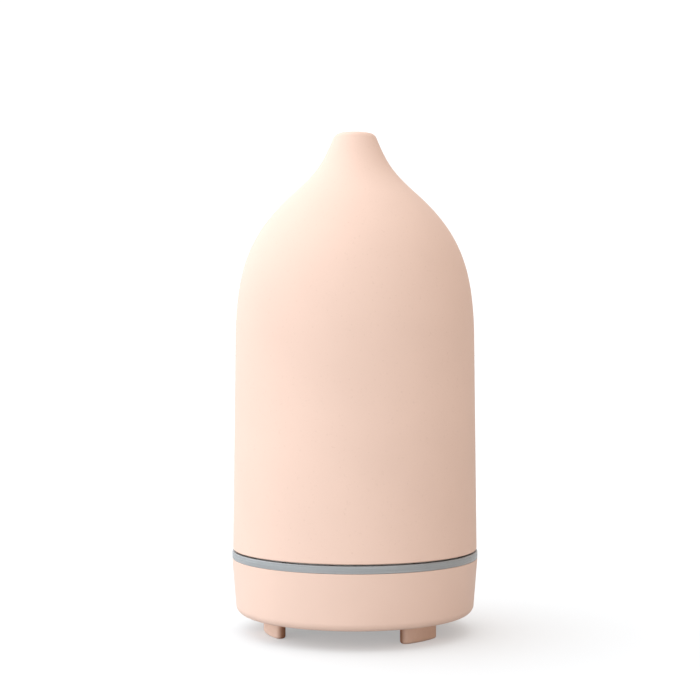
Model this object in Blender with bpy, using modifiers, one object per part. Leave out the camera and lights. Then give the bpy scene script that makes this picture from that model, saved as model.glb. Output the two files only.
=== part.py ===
"""An essential oil diffuser: an ultrasonic mist maker under a tall stone-look cover.

Units are metres, +Z is up, the front faces -Y and the rear, with its two buttons and its
power socket, faces +Y.  The origin is on the centre line, at the underside of the feet.
From the bottom up the object is: feet, bottom cover, base shell with the fan and the
boards, light ring, water tank with its mist disc, reservoir lid, and the stone cover.
"""
import math

import bmesh
import bpy
from mathutils import Matrix

MM = 0.001

# --- Fits -----------------------------------------------------------------------------
TOUCH = 0.3 * MM              # gap kept where two pieces rest on each other
SLIP = 0.3 * MM               # radial gap where a piece sits in or around another

# --- Overall sizes --------------------------------------------------------------------
BODY_RADIUS = 45.5 * MM       # widest point of the body, at the rim of the base
FOOT_HEIGHT = 7.0 * MM        # from the floor to the underside of the base
BASE_HEIGHT = 20.3 * MM       # base shell, from its underside to its rim
RING_HEIGHT = 2.4 * MM        # visible band of the light ring
SHADOW_GAP = 0.5 * MM         # dark line between the light ring and the stone cover
SKIRT_HEIGHT = 80.7 * MM      # nearly straight lower part of the stone cover
DOME_HEIGHT = 50.8 * MM       # shoulder of the cover, up to where it turns into the neck
NECK_HEIGHT = 20.9 * MM       # neck of the cover, up to its lip
LIP_HEIGHT = 1.8 * MM         # rounded top of the lip

# --- Stone cover ----------------------------------------------------------------------
COVER_WALL = 4.0 * MM
COVER_INSET = 0.3 * MM        # the cover's foot is this much inside the base's rim
SKIRT_TAPER = 0.9 * MM        # how far the skirt leans in over its height
NECK_RADIUS = 23.1 * MM       # outside, where the dome turns into the neck
LIP_RADIUS = 8.1 * MM         # outside, where the neck meets the lip
CREST_RADIUS = 5.5 * MM       # highest ring of the lip
MOUTH_RADIUS = 4.2 * MM       # the hole that the mist leaves by
SKIRT_LEAN = math.radians(1.7)
NECK_LEAN = math.radians(48.1)
LIP_LEAN = math.radians(22.3)
FOOT_EASE = 0.7 * MM          # rounding of the cover's lower outer edge

# --- Base shell -----------------------------------------------------------------------
BASE_WALL = 2.4 * MM
BASE_TAPER = 1.4 * MM         # how much narrower the base is at its bottom fillet
BASE_FILLET = 3.2 * MM
LEDGE_WIDTH = 4.0 * MM        # ledge that the bottom cover is screwed to
LEDGE_THICKNESS = 2.0 * MM
SEAT_WIDTH = 2.9 * MM         # flat rim around the bottom cover
LUG_DROP = 4.3 * MM           # top of the lugs below the rim
LUG_WIDTH = 7.0 * MM
LUG_THICKNESS = 3.0 * MM
LUG_LENGTH = 5.0 * MM         # how far a lug reaches in from the wall
LUG_SCREW_INSET = 4.3 * MM    # from the wall to the screw in a lug
LUG_ANGLES = (30, 150, 270)
BOTTOM_SCREW_ANGLES = (45, 135, 250, 290)

# --- Bottom cover and feet ------------------------------------------------------------
BOTTOM_THICKNESS = 2.4 * MM
BOTTOM_SCREW_INSET = 2.7 * MM # from the edge of the opening to a screw
SCREW_SINK = 1.7 * MM         # depth of the counterbore for a screw head
FOOT_RADIUS = 34.0 * MM       # outer face of the feet
FOOT_DEPTH = 4.0 * MM         # radial thickness
FOOT_SPAN = 31.0              # degrees
FOOT_ANGLES = {"foot_left": 212.0, "foot_right": 328.0, "foot_rear": 90.0}
FOOT_RECESS = 1.0 * MM        # how deep a foot is let into the bottom cover
POST_RADIUS = 2.4 * MM
SOCKET_REST_DEPTH = 3.3 * MM  # block under the power socket, along Y
RIB_OFFSET = 11.0 * MM        # ribs that hold the rear board, either side of the socket
RIB_HALF = 2.0 * MM           # half a rib's width, and its reach past the board's faces
RIB_GRIP = 2.0 * MM           # height of the rear board held between the ribs
VENT_WIDTH = 2.2 * MM
VENT_PITCH = 4.4 * MM
VENT_COUNT = 5

# --- Screws ---------------------------------------------------------------------------
SHANK_RADIUS = 0.8 * MM
HEAD_RADIUS = 1.7 * MM
HEAD_HEIGHT = 1.3 * MM
BOSS_RADIUS = 2.3 * MM
PASS_RADIUS = SHANK_RADIUS + SLIP
END_SPACE = 0.5 * MM          # left in a blind hole past the screw's tip

# --- Light ring -----------------------------------------------------------------------
RING_DEPTH = 2.5 * MM         # radial depth of the visible band
RING_LIP_WIDTH = 1.7 * MM     # inner lip that the tank's flange holds down
RING_LIP_HEIGHT = 1.2 * MM

# --- Water tank and air duct ----------------------------------------------------------
TANK_WALL = 2.2 * MM
TANK_GAP = 5.2 * MM           # from the cover's inside to the tank's outside
RIM_DROP = 31.2 * MM          # tank rim below the top of the cover's skirt
FLANGE_THICKNESS = 2.6 * MM
FLANGE_EDGE = 1.1 * MM        # thinner edge that holds the light ring
UPSTAND_HEIGHT = 5.8 * MM     # rib that centres the cover
UPSTAND_THICKNESS = 1.3 * MM
UPSTAND_SLIP = 0.5 * MM
FLOOR_RISE = 7.8 * MM         # tank floor above the tank's flange
FLOOR_THICKNESS = 2.5 * MM
FLOOR_FALL = 2.0 * MM         # the floor slopes down to the mist disc by this much
DUCT_RADIUS = 5.5 * MM
DUCT_WALL = 1.5 * MM
DUCT_OFFSET = 24.0 * MM       # behind the centre
DUCT_BELOW_RIM = 6.0 * MM
DUCT_FLANGE = 2.0 * MM

# --- Reservoir lid --------------------------------------------------------------------
LID_WALL = 1.5 * MM
LID_EDGE_HEIGHT = 1.7 * MM
LID_PLUG_DEPTH = 4.3 * MM     # collar that drops into the tank
LID_DOME = 28.0 * MM
SPOUT_RADIUS = 7.5 * MM
SPOUT_BELOW_CREST = 17.0 * MM

# --- Mist disc ------------------------------------------------------------------------
DISC_RADIUS = 10.0 * MM
DISC_THICKNESS = 1.2 * MM
WINDOW_RADIUS = 8.5 * MM      # hole in the tank floor over the disc
SEAL_WALL = 0.9 * MM
SEAL_CAP = 1.2 * MM
RETAINER_THICKNESS = 2.2 * MM
RETAINER_BORE = 7.5 * MM
RETAINER_SCREW_OFFSET = 2.8 * MM
RETAINER_ANGLES = (30, 150, 270)

# --- Fan ------------------------------------------------------------------------------
FAN_SIZE = 30.0 * MM
FAN_HEIGHT = 7.0 * MM
FAN_BORE = 13.6 * MM
FAN_HOLE_INSET = 3.0 * MM
FAN_STAND = 3.0 * MM          # height of the posts under the fan
HUB_RADIUS = 7.5 * MM
HUB_PLATE = 1.0 * MM
HUB_PIN_RADIUS = 1.5 * MM
BLADE_COUNT = 7
BLADE_THICKNESS = 0.8 * MM
BLADE_LEAN = math.radians(38)
BLADE_TIP_GAP = 0.8 * MM
STRUT_HALF = 1.0 * MM         # half the width of a strut
STRUT_ANGLES = (60, 180, 300)

# --- Boards ---------------------------------------------------------------------------
BOARD_THICKNESS = 1.6 * MM
BOARD_LENGTH = 30.5 * MM      # along X
BOARD_WIDTH = 38.0 * MM       # along Y
BOARD_STAND = 2.7 * MM
BOARD_SCREW_INSET = 4.0 * MM
BOARD_EDGE_GAP = 1.0 * MM     # kept between the board's corners and the base's wall
BOARD_TO_FAN = 2.5 * MM
CONNECTOR_SIZE = (5.0 * MM, 6.0 * MM, 5.0 * MM)
LED_CONNECTOR_SIZE = (8.0 * MM, 5.0 * MM, 5.0 * MM)
CHIP_SIZE = (6.0 * MM, 5.0 * MM, 1.6 * MM)
TRANSISTOR_SIZE = (4.5 * MM, 10.0 * MM, 9.0 * MM)
DISC_CONNECTOR_PLACE = (6.0 * MM, 0.0)          # places on the main board: along X from
FAN_CONNECTOR_PLACE = (6.0 * MM, -8.0 * MM)     # its left edge, and along Y
LED_CONNECTOR_PLACE = (14.0 * MM, 13.0 * MM)
CHIP_PLACE = (7.0 * MM, 8.0 * MM)
INDUCTOR_PLACE = (15.5 * MM, -12.0 * MM)
TRANSISTOR_PLACE = (20.5 * MM, 3.0 * MM)
CAPACITOR_PLACE = (25.2 * MM, -12.5 * MM)
HEAT_SINK_PLACE = (23.2 * MM, 3.0 * MM)
INDUCTOR_RADIUS = 5.0 * MM
INDUCTOR_BORE = 1.8 * MM
INDUCTOR_HEIGHT = 5.8 * MM
CAPACITOR_RADIUS = 4.0 * MM
CAPACITOR_HEIGHT = 8.0 * MM
SINK_PLATE = 1.4 * MM
SINK_DEPTH = 5.5 * MM
SINK_FIN = 1.1 * MM
SINK_PITCH = 2.45 * MM
SINK_FIN_COUNT = 5
LED_BOARD_INSET = 1.0 * MM    # from the base's inner wall to the LED board
LED_BOARD_WIDTH = 5.9 * MM
LED_BOARD_THICKNESS = 1.2 * MM
LED_SIZE = 3.0 * MM
LED_HEIGHT = 1.4 * MM
LED_ANGLES = (0, 60, 120, 180, 240, 300)

# --- Buttons, switches and power socket on the rear -----------------------------------
BUTTON_RADIUS = 3.5 * MM
BUTTON_SPACING = 30.0 * MM
BUTTON_HEIGHT = 11.5 * MM     # button centre above the underside of the base
BUTTON_PROUD = 0.35 * MM
BUTTON_TRAVEL = 0.4 * MM
BUTTON_FLANGE = 1.0 * MM      # how much wider the flange behind the wall is
BUTTON_FLANGE_THICKNESS = 1.3 * MM
REAR_BOARD_Y = 27.0 * MM
REAR_BOARD_THICKNESS = 1.2 * MM
REAR_BOARD_LENGTH = 40.0 * MM
REAR_BOARD_HEIGHT = 10.6 * MM
SWITCH_SIZE = 6.0 * MM
SWITCH_DEPTH = 3.5 * MM
PLUNGER_RADIUS = 1.6 * MM
PLUNGER_LENGTH = 2.2 * MM
PLUNGER_OUT = 1.2 * MM        # how far the plunger stands out of its switch
JACK_WIDTH = 9.0 * MM
JACK_HEIGHT = 8.6 * MM
JACK_NOSE_RADIUS = 3.9 * MM
JACK_NOSE_INSET = 1.0 * MM    # nose below the outer face of the wall
JACK_BORE = 2.8 * MM
JACK_BORE_DEPTH = 10.0 * MM
JACK_PIN_RADIUS = 1.0 * MM
JACK_PIN_INSET = 1.0 * MM     # pin below the nose's rim

# --- Wires ----------------------------------------------------------------------------
WIRE_RADIUS = 0.7 * MM
LED_WIRE_ANGLE = 50           # where the LED board's lead meets its inner edge

# --- Mesh fineness --------------------------------------------------------------------
ROUND = 40                    # sides of the large turned pieces
SMALL_ROUND = 12              # sides of bosses and holes
SCREW_ROUND = 8               # sides of screws
OVERRUN = 2.0 * MM            # how far a cutter runs past what it cuts

# --- Heights, worked out from the sizes above -----------------------------------------
BASE_BOTTOM = FOOT_HEIGHT
BASE_TOP = BASE_BOTTOM + BASE_HEIGHT
RING_BOTTOM = BASE_TOP + TOUCH
RING_TOP = RING_BOTTOM + RING_HEIGHT
COVER_BOTTOM = RING_TOP + SHADOW_GAP
SKIRT_TOP = COVER_BOTTOM + SKIRT_HEIGHT
COVER_TOP = SKIRT_TOP + DOME_HEIGHT + NECK_HEIGHT + LIP_HEIGHT
FLANGE_TOP = COVER_BOTTOM - TOUCH
FLANGE_BOTTOM = FLANGE_TOP - FLANGE_THICKNESS
TANK_RIM = SKIRT_TOP - RIM_DROP
FLOOR_BOTTOM = FLANGE_TOP + FLOOR_RISE
FLOOR_TOP = FLOOR_BOTTOM + FLOOR_THICKNESS
BOTTOM_TOP = BASE_BOTTOM + BOTTOM_THICKNESS
LEDGE_BOTTOM = BOTTOM_TOP + TOUCH
LEDGE_TOP = LEDGE_BOTTOM + LEDGE_THICKNESS
SEAL_TOP = FLOOR_BOTTOM - TOUCH
DISC_TOP = SEAL_TOP - SEAL_CAP - TOUCH
DISC_BOTTOM = DISC_TOP - DISC_THICKNESS
RETAINER_TOP = DISC_BOTTOM - TOUCH
RETAINER_BOTTOM = RETAINER_TOP - RETAINER_THICKNESS
LUG_TOP = BASE_TOP - LUG_DROP
LUG_BOTTOM = LUG_TOP - LUG_THICKNESS
LED_BOARD_BOTTOM = LUG_TOP + TOUCH
LED_BOARD_TOP = LED_BOARD_BOTTOM + LED_BOARD_THICKNESS
TANK_BOSS_BOTTOM = LED_BOARD_TOP + TOUCH
FAN_BOTTOM = BOTTOM_TOP + FAN_STAND + TOUCH
FAN_TOP = FAN_BOTTOM + FAN_HEIGHT
BOARD_BOTTOM = BOTTOM_TOP + BOARD_STAND + TOUCH
BOARD_TOP = BOARD_BOTTOM + BOARD_THICKNESS
BUTTON_Z = BASE_BOTTOM + BUTTON_HEIGHT
JACK_BOTTOM = BOARD_BOTTOM
JACK_TOP = JACK_BOTTOM + JACK_HEIGHT
JACK_Z = (JACK_BOTTOM + JACK_TOP) / 2
SPOUT_TOP = COVER_TOP - SPOUT_BELOW_CREST

# --- Radii, worked out from the sizes above -------------------------------------------
COVER_RADIUS = BODY_RADIUS - COVER_INSET
COVER_INSIDE = COVER_RADIUS - COVER_WALL
TANK_RADIUS = COVER_INSIDE - TANK_GAP
TANK_INSIDE = TANK_RADIUS - TANK_WALL
BASE_FOOT_RADIUS = BODY_RADIUS - BASE_TAPER
OPENING_RADIUS = BASE_FOOT_RADIUS - BASE_FILLET - SEAT_WIDTH
LEDGE_RADIUS = OPENING_RADIUS - LEDGE_WIDTH
BOTTOM_RADIUS = OPENING_RADIUS - SLIP
BOTTOM_SCREW_RADIUS = OPENING_RADIUS - BOTTOM_SCREW_INSET
RING_INSIDE = BODY_RADIUS - RING_DEPTH
RING_LIP_INSIDE = RING_INSIDE - RING_LIP_WIDTH
FLANGE_RADIUS = RING_INSIDE - SLIP
FLANGE_STEP_RADIUS = RING_LIP_INSIDE - SLIP
RETAINER_SCREW_RADIUS = DISC_RADIUS + SLIP + SEAL_WALL + RETAINER_SCREW_OFFSET
FAN_PITCH = FAN_SIZE / 2 - FAN_HOLE_INSET
POST_REACH = LEDGE_RADIUS - POST_RADIUS - SLIP
FAN_X = -min(FAN_SIZE / 2, math.sqrt(POST_REACH ** 2 - FAN_PITCH ** 2) - FAN_PITCH)
BOARD_LEFT = FAN_X + FAN_SIZE / 2 + BOARD_TO_FAN
BOARD_X = BOARD_LEFT + BOARD_LENGTH / 2


# --- Helpers --------------------------------------------------------------------------
def wall_radius(height, inset=0.0):
    """Radius of the base's tapered wall at a height, or of a wall set in from it."""
    share = (height - BASE_BOTTOM - BASE_FILLET) / (BASE_HEIGHT - BASE_FILLET)
    return BASE_FOOT_RADIUS + share * BASE_TAPER - inset


LUG_SCREW_RADIUS = wall_radius(LUG_TOP, BASE_WALL) - LUG_SCREW_INSET
LED_BOARD_OUTSIDE = wall_radius(LUG_TOP, BASE_WALL) - SLIP - LED_BOARD_INSET
LED_BOARD_INSIDE = LED_BOARD_OUTSIDE - LED_BOARD_WIDTH


def polar(radius, degrees):
    """X and Y of a point at a radius and an angle from +X."""
    angle = math.radians(degrees)
    return radius * math.cos(angle), radius * math.sin(angle)


def arc(centre_r, centre_z, radius, start, end, steps):
    """Points on an arc in the turning plane, angles in degrees from the +R direction."""
    points = []
    for step in range(steps + 1):
        angle = math.radians(start + (end - start) * step / steps)
        points.append((centre_r + radius * math.cos(angle),
                       centre_z + radius * math.sin(angle)))
    return points


def bezier(start, start_lean, end, end_lean, reach, steps):
    """A cubic curve that leans in from the vertical by the given angles at its ends.

    Returns (point, lean) pairs; reach gives the two handle lengths.
    """
    handles = (
        start,
        (start[0] - reach[0] * math.sin(start_lean), start[1] + reach[0] * math.cos(start_lean)),
        (end[0] + reach[1] * math.sin(end_lean), end[1] - reach[1] * math.cos(end_lean)),
        end,
    )
    result = []
    for step in range(steps + 1):
        t = step / steps
        weights = ((1 - t) ** 3, 3 * (1 - t) ** 2 * t, 3 * (1 - t) * t * t, t ** 3)
        slopes = (-3 * (1 - t) ** 2, 3 * (1 - t) * (1 - 3 * t), 3 * t * (2 - 3 * t), 3 * t * t)
        point = tuple(sum(w * h[k] for w, h in zip(weights, handles)) for k in (0, 1))
        slope = tuple(sum(s * h[k] for s, h in zip(slopes, handles)) for k in (0, 1))
        result.append((point, math.atan2(-slope[0], slope[1])))
    return result


def offset_inward(point, lean, distance):
    """Move a point of the outline towards the inside, square to the outline."""
    return point[0] - distance * math.cos(lean), point[1] - distance * math.sin(lean)


def material(name, colour, roughness, metallic=0.0):
    """A Principled material, made once for each name."""
    found = bpy.data.materials.get(name)
    if found:
        return found
    made = bpy.data.materials.new(name)
    made.use_nodes = True
    made.diffuse_color = (*colour, 1.0)
    shader = made.node_tree.nodes["Principled BSDF"]
    shader.inputs["Base Color"].default_value = (*colour, 1.0)
    shader.inputs["Roughness"].default_value = roughness
    shader.inputs["Metallic"].default_value = metallic
    return made


def register(piece, collection, finish=None, parent=None):
    """Put an object in its collection, give it a material and a parent."""
    collection.objects.link(piece)
    if finish:
        piece.data.materials.append(finish)
    if parent:
        piece.parent = parent
    return piece


def cylinder(bm, radius, low, high, x=0.0, y=0.0, top=None, sides=SMALL_ROUND):
    """Add an upright cylinder, or a cone when top is given, to a bmesh."""
    bmesh.ops.create_cone(
        bm,
        cap_ends=True,
        segments=sides,
        radius1=radius,
        radius2=radius if top is None else top,
        depth=high - low,
        matrix=Matrix.Translation((x, y, (low + high) / 2)),
    )


def box(bm, x_range, y_range, z_range, turn=None):
    """Add a box between three pairs of limits to a bmesh, turned by a matrix if given."""
    centre = [(pair[0] + pair[1]) / 2 for pair in (x_range, y_range, z_range)]
    size = [pair[1] - pair[0] for pair in (x_range, y_range, z_range)]
    place = Matrix.Translation(centre) @ Matrix.Diagonal((*size, 1.0))
    if turn:
        place = turn @ place
    bmesh.ops.create_cube(bm, size=1.0, matrix=place)


def turn_z(degrees):
    """A turn about the vertical axis."""
    return Matrix.Rotation(math.radians(degrees), 4, "Z")


class Workshop:
    """Makes the pieces and the cutters, each in its own collection."""

    def __init__(self):
        scene = bpy.context.scene.collection
        self.parts = bpy.data.collections.new("essential_oil_diffuser")
        self.cutters = bpy.data.collections.new("cutters")
        scene.children.link(self.parts)
        scene.children.link(self.cutters)
        self.root = bpy.data.objects.new("diffuser_frame", None)
        self.parts.objects.link(self.root)

    def piece(self, name, fill, finish, location=(0, 0, 0), rotation=(0, 0, 0)):
        """A piece whose mesh is filled by a function that takes a bmesh."""
        mesh = bpy.data.meshes.new(name)
        bm = bmesh.new()
        fill(bm)
        bm.to_mesh(mesh)
        bm.free()
        made = bpy.data.objects.new(name, mesh)
        made.location = location
        made.rotation_euler = rotation
        mesh.shade_smooth()
        mesh.set_sharp_from_angle(angle=math.radians(35))
        return register(made, self.parts, finish, self.root)

    def turned(self, name, outline, finish, location=(0, 0, 0), sides=ROUND, on_axis=False):
        """A piece turned about Z from (radius, height) points, down its outer side."""
        mesh = bpy.data.meshes.new(name)
        count = len(outline)
        edges = [(index, index + 1) for index in range(count - 1)]
        if not on_axis:
            edges.append((count - 1, 0))
        mesh.from_pydata([(radius, 0.0, height) for radius, height in outline], edges, [])
        made = bpy.data.objects.new(name, mesh)
        made.location = location
        screw = made.modifiers.new("turn", "SCREW")
        screw.axis = "Z"
        screw.angle = math.tau
        screw.steps = sides
        screw.render_steps = sides
        screw.use_merge_vertices = True
        screw.merge_threshold = 0.00001
        screw.use_smooth_shade = True
        return register(made, self.parts, finish, self.root)

    def extruded(self, name, outline, low, high, finish, collection=None):
        """A flat outline of (x, y) points, given a thickness along Z."""
        curve = bpy.data.curves.new(name, "CURVE")
        curve.dimensions = "2D"
        curve.fill_mode = "BOTH"
        curve.extrude = (high - low) / 2
        spline = curve.splines.new("POLY")
        spline.points.add(len(outline) - 1)
        for point, (x, y) in zip(spline.points, outline):
            point.co = (x, y, 0.0, 1.0)
        spline.use_cyclic_u = True
        shape = bpy.data.objects.new(name + "_outline", curve)
        shape.location.z = (low + high) / 2
        bpy.context.scene.collection.objects.link(shape)
        bpy.context.view_layer.update()
        view = bpy.context.evaluated_depsgraph_get()
        mesh = bpy.data.meshes.new_from_object(shape.evaluated_get(view))
        mesh.name = name
        place = shape.matrix_world.copy()
        bpy.data.objects.remove(shape)
        bm = bmesh.new()
        bm.from_mesh(mesh)
        bmesh.ops.remove_doubles(bm, verts=bm.verts, dist=0.000001)
        bmesh.ops.recalc_face_normals(bm, faces=bm.faces)
        bm.to_mesh(mesh)
        bm.free()
        made = bpy.data.objects.new(name, mesh)
        made.matrix_world = place
        if collection is None:
            return register(made, self.parts, finish, self.root)
        return register(made, collection)

    def tool(self, name, fill):
        """A cutter or an addition, kept out of the model itself."""
        mesh = bpy.data.meshes.new(name)
        bm = bmesh.new()
        fill(bm)
        bm.to_mesh(mesh)
        bm.free()
        made = bpy.data.objects.new(name, mesh)
        return self.hide(register(made, self.cutters))

    def hide(self, tool):
        """Mark a cutter so that it doesn't count as a piece."""
        tool.hide_render = True
        tool.display_type = "WIRE"
        return tool

    def shape(self, piece, operation, label, fill):
        """Join to a piece, cut from it or keep only what lies in a filled shape."""
        tool = self.tool(piece.name + "_" + label, fill)
        self.apply(piece, operation, tool)

    def apply(self, piece, operation, tool):
        """Add one Boolean modifier."""
        step = piece.modifiers.new(tool.name, "BOOLEAN")
        step.operation = operation
        step.solver = "EXACT"
        step.object = tool

    def wire(self, name, points, radius, finish):
        """A wire through the points, as a round tube with closed ends."""
        curve = bpy.data.curves.new(name, "CURVE")
        curve.dimensions = "3D"
        curve.bevel_depth = radius
        curve.bevel_resolution = 2
        curve.use_fill_caps = True
        spline = curve.splines.new("POLY")
        spline.points.add(len(points) - 1)
        for point, place in zip(spline.points, points):
            point.co = (*place, 1.0)
        made = bpy.data.objects.new(name, curve)
        return register(made, self.parts, finish, self.root)


# --- Finishes -------------------------------------------------------------------------
def stone():
    return material("peach_stone", (0.78, 0.55, 0.45), 0.75)


def base_plastic():
    return material("peach_plastic", (0.76, 0.54, 0.44), 0.5)


def frosted():
    return material("frosted_plastic", (0.33, 0.34, 0.34), 0.45)


def white_plastic():
    return material("white_plastic", (0.8, 0.8, 0.78), 0.4)


def black_plastic():
    return material("black_plastic", (0.02, 0.02, 0.02), 0.45)


def rubber():
    return material("foot_rubber", (0.55, 0.33, 0.24), 0.8)


def silicone():
    return material("grey_silicone", (0.35, 0.35, 0.34), 0.7)


def board_green():
    return material("board_green", (0.02, 0.16, 0.06), 0.4)


def board_white():
    return material("board_white", (0.75, 0.75, 0.72), 0.4)


def steel():
    return material("screw_steel", (0.6, 0.6, 0.6), 0.3, 1.0)


def aluminium():
    return material("aluminium", (0.7, 0.7, 0.7), 0.35, 1.0)


def ferrite():
    return material("ferrite", (0.06, 0.06, 0.065), 0.6)


def led_resin():
    return material("led_resin", (0.85, 0.78, 0.4), 0.3)


def wire_red():
    return material("wire_red", (0.5, 0.03, 0.02), 0.45)


# --- Stone cover ----------------------------------------------------------------------
def cover_outline():
    """Outline of the stone cover above its own lower edge, down its outer side."""
    skirt_top = (COVER_RADIUS - SKIRT_TAPER, SKIRT_HEIGHT)
    neck = (NECK_RADIUS, SKIRT_HEIGHT + DOME_HEIGHT)
    lip = (LIP_RADIUS, SKIRT_HEIGHT + DOME_HEIGHT + NECK_HEIGHT)
    dome = bezier(skirt_top, SKIRT_LEAN, neck, NECK_LEAN,
                  (0.44 * DOME_HEIGHT, 0.44 * DOME_HEIGHT), 7)
    throat = bezier(neck, NECK_LEAN, lip, LIP_LEAN,
                    (0.55 * NECK_HEIGHT, 0.5 * NECK_HEIGHT), 4)
    curve = dome + throat[1:]
    crest_height = lip[1] + LIP_HEIGHT
    mouth_edge = CREST_RADIUS - MOUTH_RADIUS
    crest_turn = 2 * math.degrees(math.atan2(LIP_HEIGHT, LIP_RADIUS - CREST_RADIUS))
    crest_round = (LIP_RADIUS - CREST_RADIUS) / math.sin(math.radians(crest_turn))
    outer_lip = arc(CREST_RADIUS, crest_height - crest_round, crest_round,
                    90, 90 - crest_turn, 3)
    inner_lip = arc(CREST_RADIUS, crest_height - mouth_edge, mouth_edge, 180, 90, 2)
    outside = [point for point, lean in reversed(curve)]
    inside = [offset_inward(point, lean, COVER_WALL) for point, lean in curve]
    foot = [
        (COVER_RADIUS, FOOT_EASE),
        (COVER_RADIUS - FOOT_EASE, 0.0),
        (COVER_INSIDE, 0.0),
    ]
    mouth_base = (MOUTH_RADIUS, inside[-1][1])
    return outer_lip[:-1] + outside + foot + inside[:-1] + [mouth_base] + inner_lip[:-1]


def make_cover(shop):
    shop.turned("stone_cover", cover_outline(), stone(), (0, 0, COVER_BOTTOM))


# --- Base shell, light ring, bottom cover and feet ------------------------------------
def make_base_shell(shop):
    """Tapered cup, open at the top, with a ledge for the bottom cover."""
    fillet_centre = BASE_FOOT_RADIUS - BASE_FILLET
    outline = [(BODY_RADIUS, BASE_HEIGHT)]
    outline += arc(fillet_centre, BASE_FILLET, BASE_FILLET, 0, -90, 4)
    outline += [
        (OPENING_RADIUS, 0.0),
        (OPENING_RADIUS, LEDGE_BOTTOM - BASE_BOTTOM),
        (LEDGE_RADIUS, LEDGE_BOTTOM - BASE_BOTTOM),
        (LEDGE_RADIUS, LEDGE_TOP - BASE_BOTTOM),
        (wall_radius(LEDGE_TOP, BASE_WALL), LEDGE_TOP - BASE_BOTTOM),
        (BODY_RADIUS - BASE_WALL, BASE_HEIGHT),
    ]
    shell = shop.turned("base_shell", outline, base_plastic(), (0, 0, BASE_BOTTOM))

    def bosses(bm):
        for angle in BOTTOM_SCREW_ANGLES:
            x, y = polar(BOTTOM_SCREW_RADIUS, angle)
            cylinder(bm, BOSS_RADIUS, LEDGE_BOTTOM + LEDGE_THICKNESS / 2,
                     LEDGE_TOP + BOSS_RADIUS, x, y)

    def lugs(bm):
        outer = wall_radius(LUG_BOTTOM, BASE_WALL / 2)
        inner = wall_radius(LUG_BOTTOM, BASE_WALL) - LUG_LENGTH - POST_RADIUS / 2
        for angle in LUG_ANGLES:
            box(bm, (inner, outer), (-LUG_WIDTH / 2, LUG_WIDTH / 2),
                (LUG_BOTTOM, LUG_TOP), turn_z(angle))

    def screw_holes(bm):
        for angle in BOTTOM_SCREW_ANGLES:
            x, y = polar(BOTTOM_SCREW_RADIUS, angle)
            cylinder(bm, PASS_RADIUS, LEDGE_BOTTOM - OVERRUN,
                     LEDGE_TOP + BOSS_RADIUS - END_SPACE, x, y)
        for angle in LUG_ANGLES:
            x, y = polar(LUG_SCREW_RADIUS, angle)
            cylinder(bm, PASS_RADIUS, LUG_BOTTOM - OVERRUN, LUG_TOP + OVERRUN, x, y)

    shop.shape(shell, "UNION", "bosses", bosses)
    shop.shape(shell, "UNION", "lugs", lugs)
    shop.shape(shell, "DIFFERENCE", "screw_holes", screw_holes)
    for side, x in button_places():
        shop.shape(shell, "DIFFERENCE", side + "_button_hole",
                   lambda bm, x=x: rear_cylinder(bm, BUTTON_RADIUS + SLIP, x, BUTTON_Z,
                                                 BODY_RADIUS / 2, BODY_RADIUS + OVERRUN))
    shop.shape(shell, "DIFFERENCE", "jack_hole",
               lambda bm: rear_cylinder(bm, JACK_NOSE_RADIUS + SLIP, 0.0, JACK_Z,
                                        BODY_RADIUS / 2, BODY_RADIUS + OVERRUN))


def rear_cylinder(bm, radius, x, z, near, far, sides=24):
    """Add a cylinder that points to the rear, along +Y."""
    place = Matrix.Translation((x, (near + far) / 2, z)) @ Matrix.Rotation(math.pi / 2, 4, "X")
    bmesh.ops.create_cone(bm, cap_ends=True, segments=sides, radius1=radius,
                          radius2=radius, depth=far - near, matrix=place)


def make_light_ring(shop):
    """Frosted band with an inner lip that the tank's flange holds down."""
    outline = [
        (BODY_RADIUS, RING_HEIGHT),
        (BODY_RADIUS, 0.0),
        (RING_LIP_INSIDE, 0.0),
        (RING_LIP_INSIDE, RING_LIP_HEIGHT),
        (RING_INSIDE, RING_LIP_HEIGHT),
        (RING_INSIDE, RING_HEIGHT),
    ]
    shop.turned("light_ring", outline, frosted(), (0, 0, RING_BOTTOM))


def foot_outline(angle, grow=0.0, steps=8):
    """Arc-shaped outline of a foot, or of its recess when grown."""
    outer = FOOT_RADIUS + grow
    inner = FOOT_RADIUS - FOOT_DEPTH - grow
    half = FOOT_SPAN / 2 + math.degrees(grow / FOOT_RADIUS)
    turns = [angle - half + 2 * half * step / steps for step in range(steps + 1)]
    return ([polar(outer, turn) for turn in turns]
            + [polar(inner, turn) for turn in reversed(turns)])


def make_feet(shop):
    top = FOOT_HEIGHT + FOOT_RECESS - TOUCH
    for name, angle in FOOT_ANGLES.items():
        shop.extruded(name, foot_outline(angle), 0.0, top, rubber())


def fan_corners():
    """The four screw places of the fan, as (x, y)."""
    return [(FAN_X + sx * FAN_PITCH, sy * FAN_PITCH) for sx in (-1, 1) for sy in (-1, 1)]


def fan_screw_corners():
    """The two opposite corners that hold the fan's screws."""
    corners = fan_corners()
    return [corners[0], corners[3]]


def board_screw_places():
    """Two screw places of the main board, at the corners beside the fan."""
    along = BOARD_LEFT + BOARD_SCREW_INSET
    across = BOARD_WIDTH / 2 - BOARD_SCREW_INSET
    return [(along, -across), (along, across)]


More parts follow.
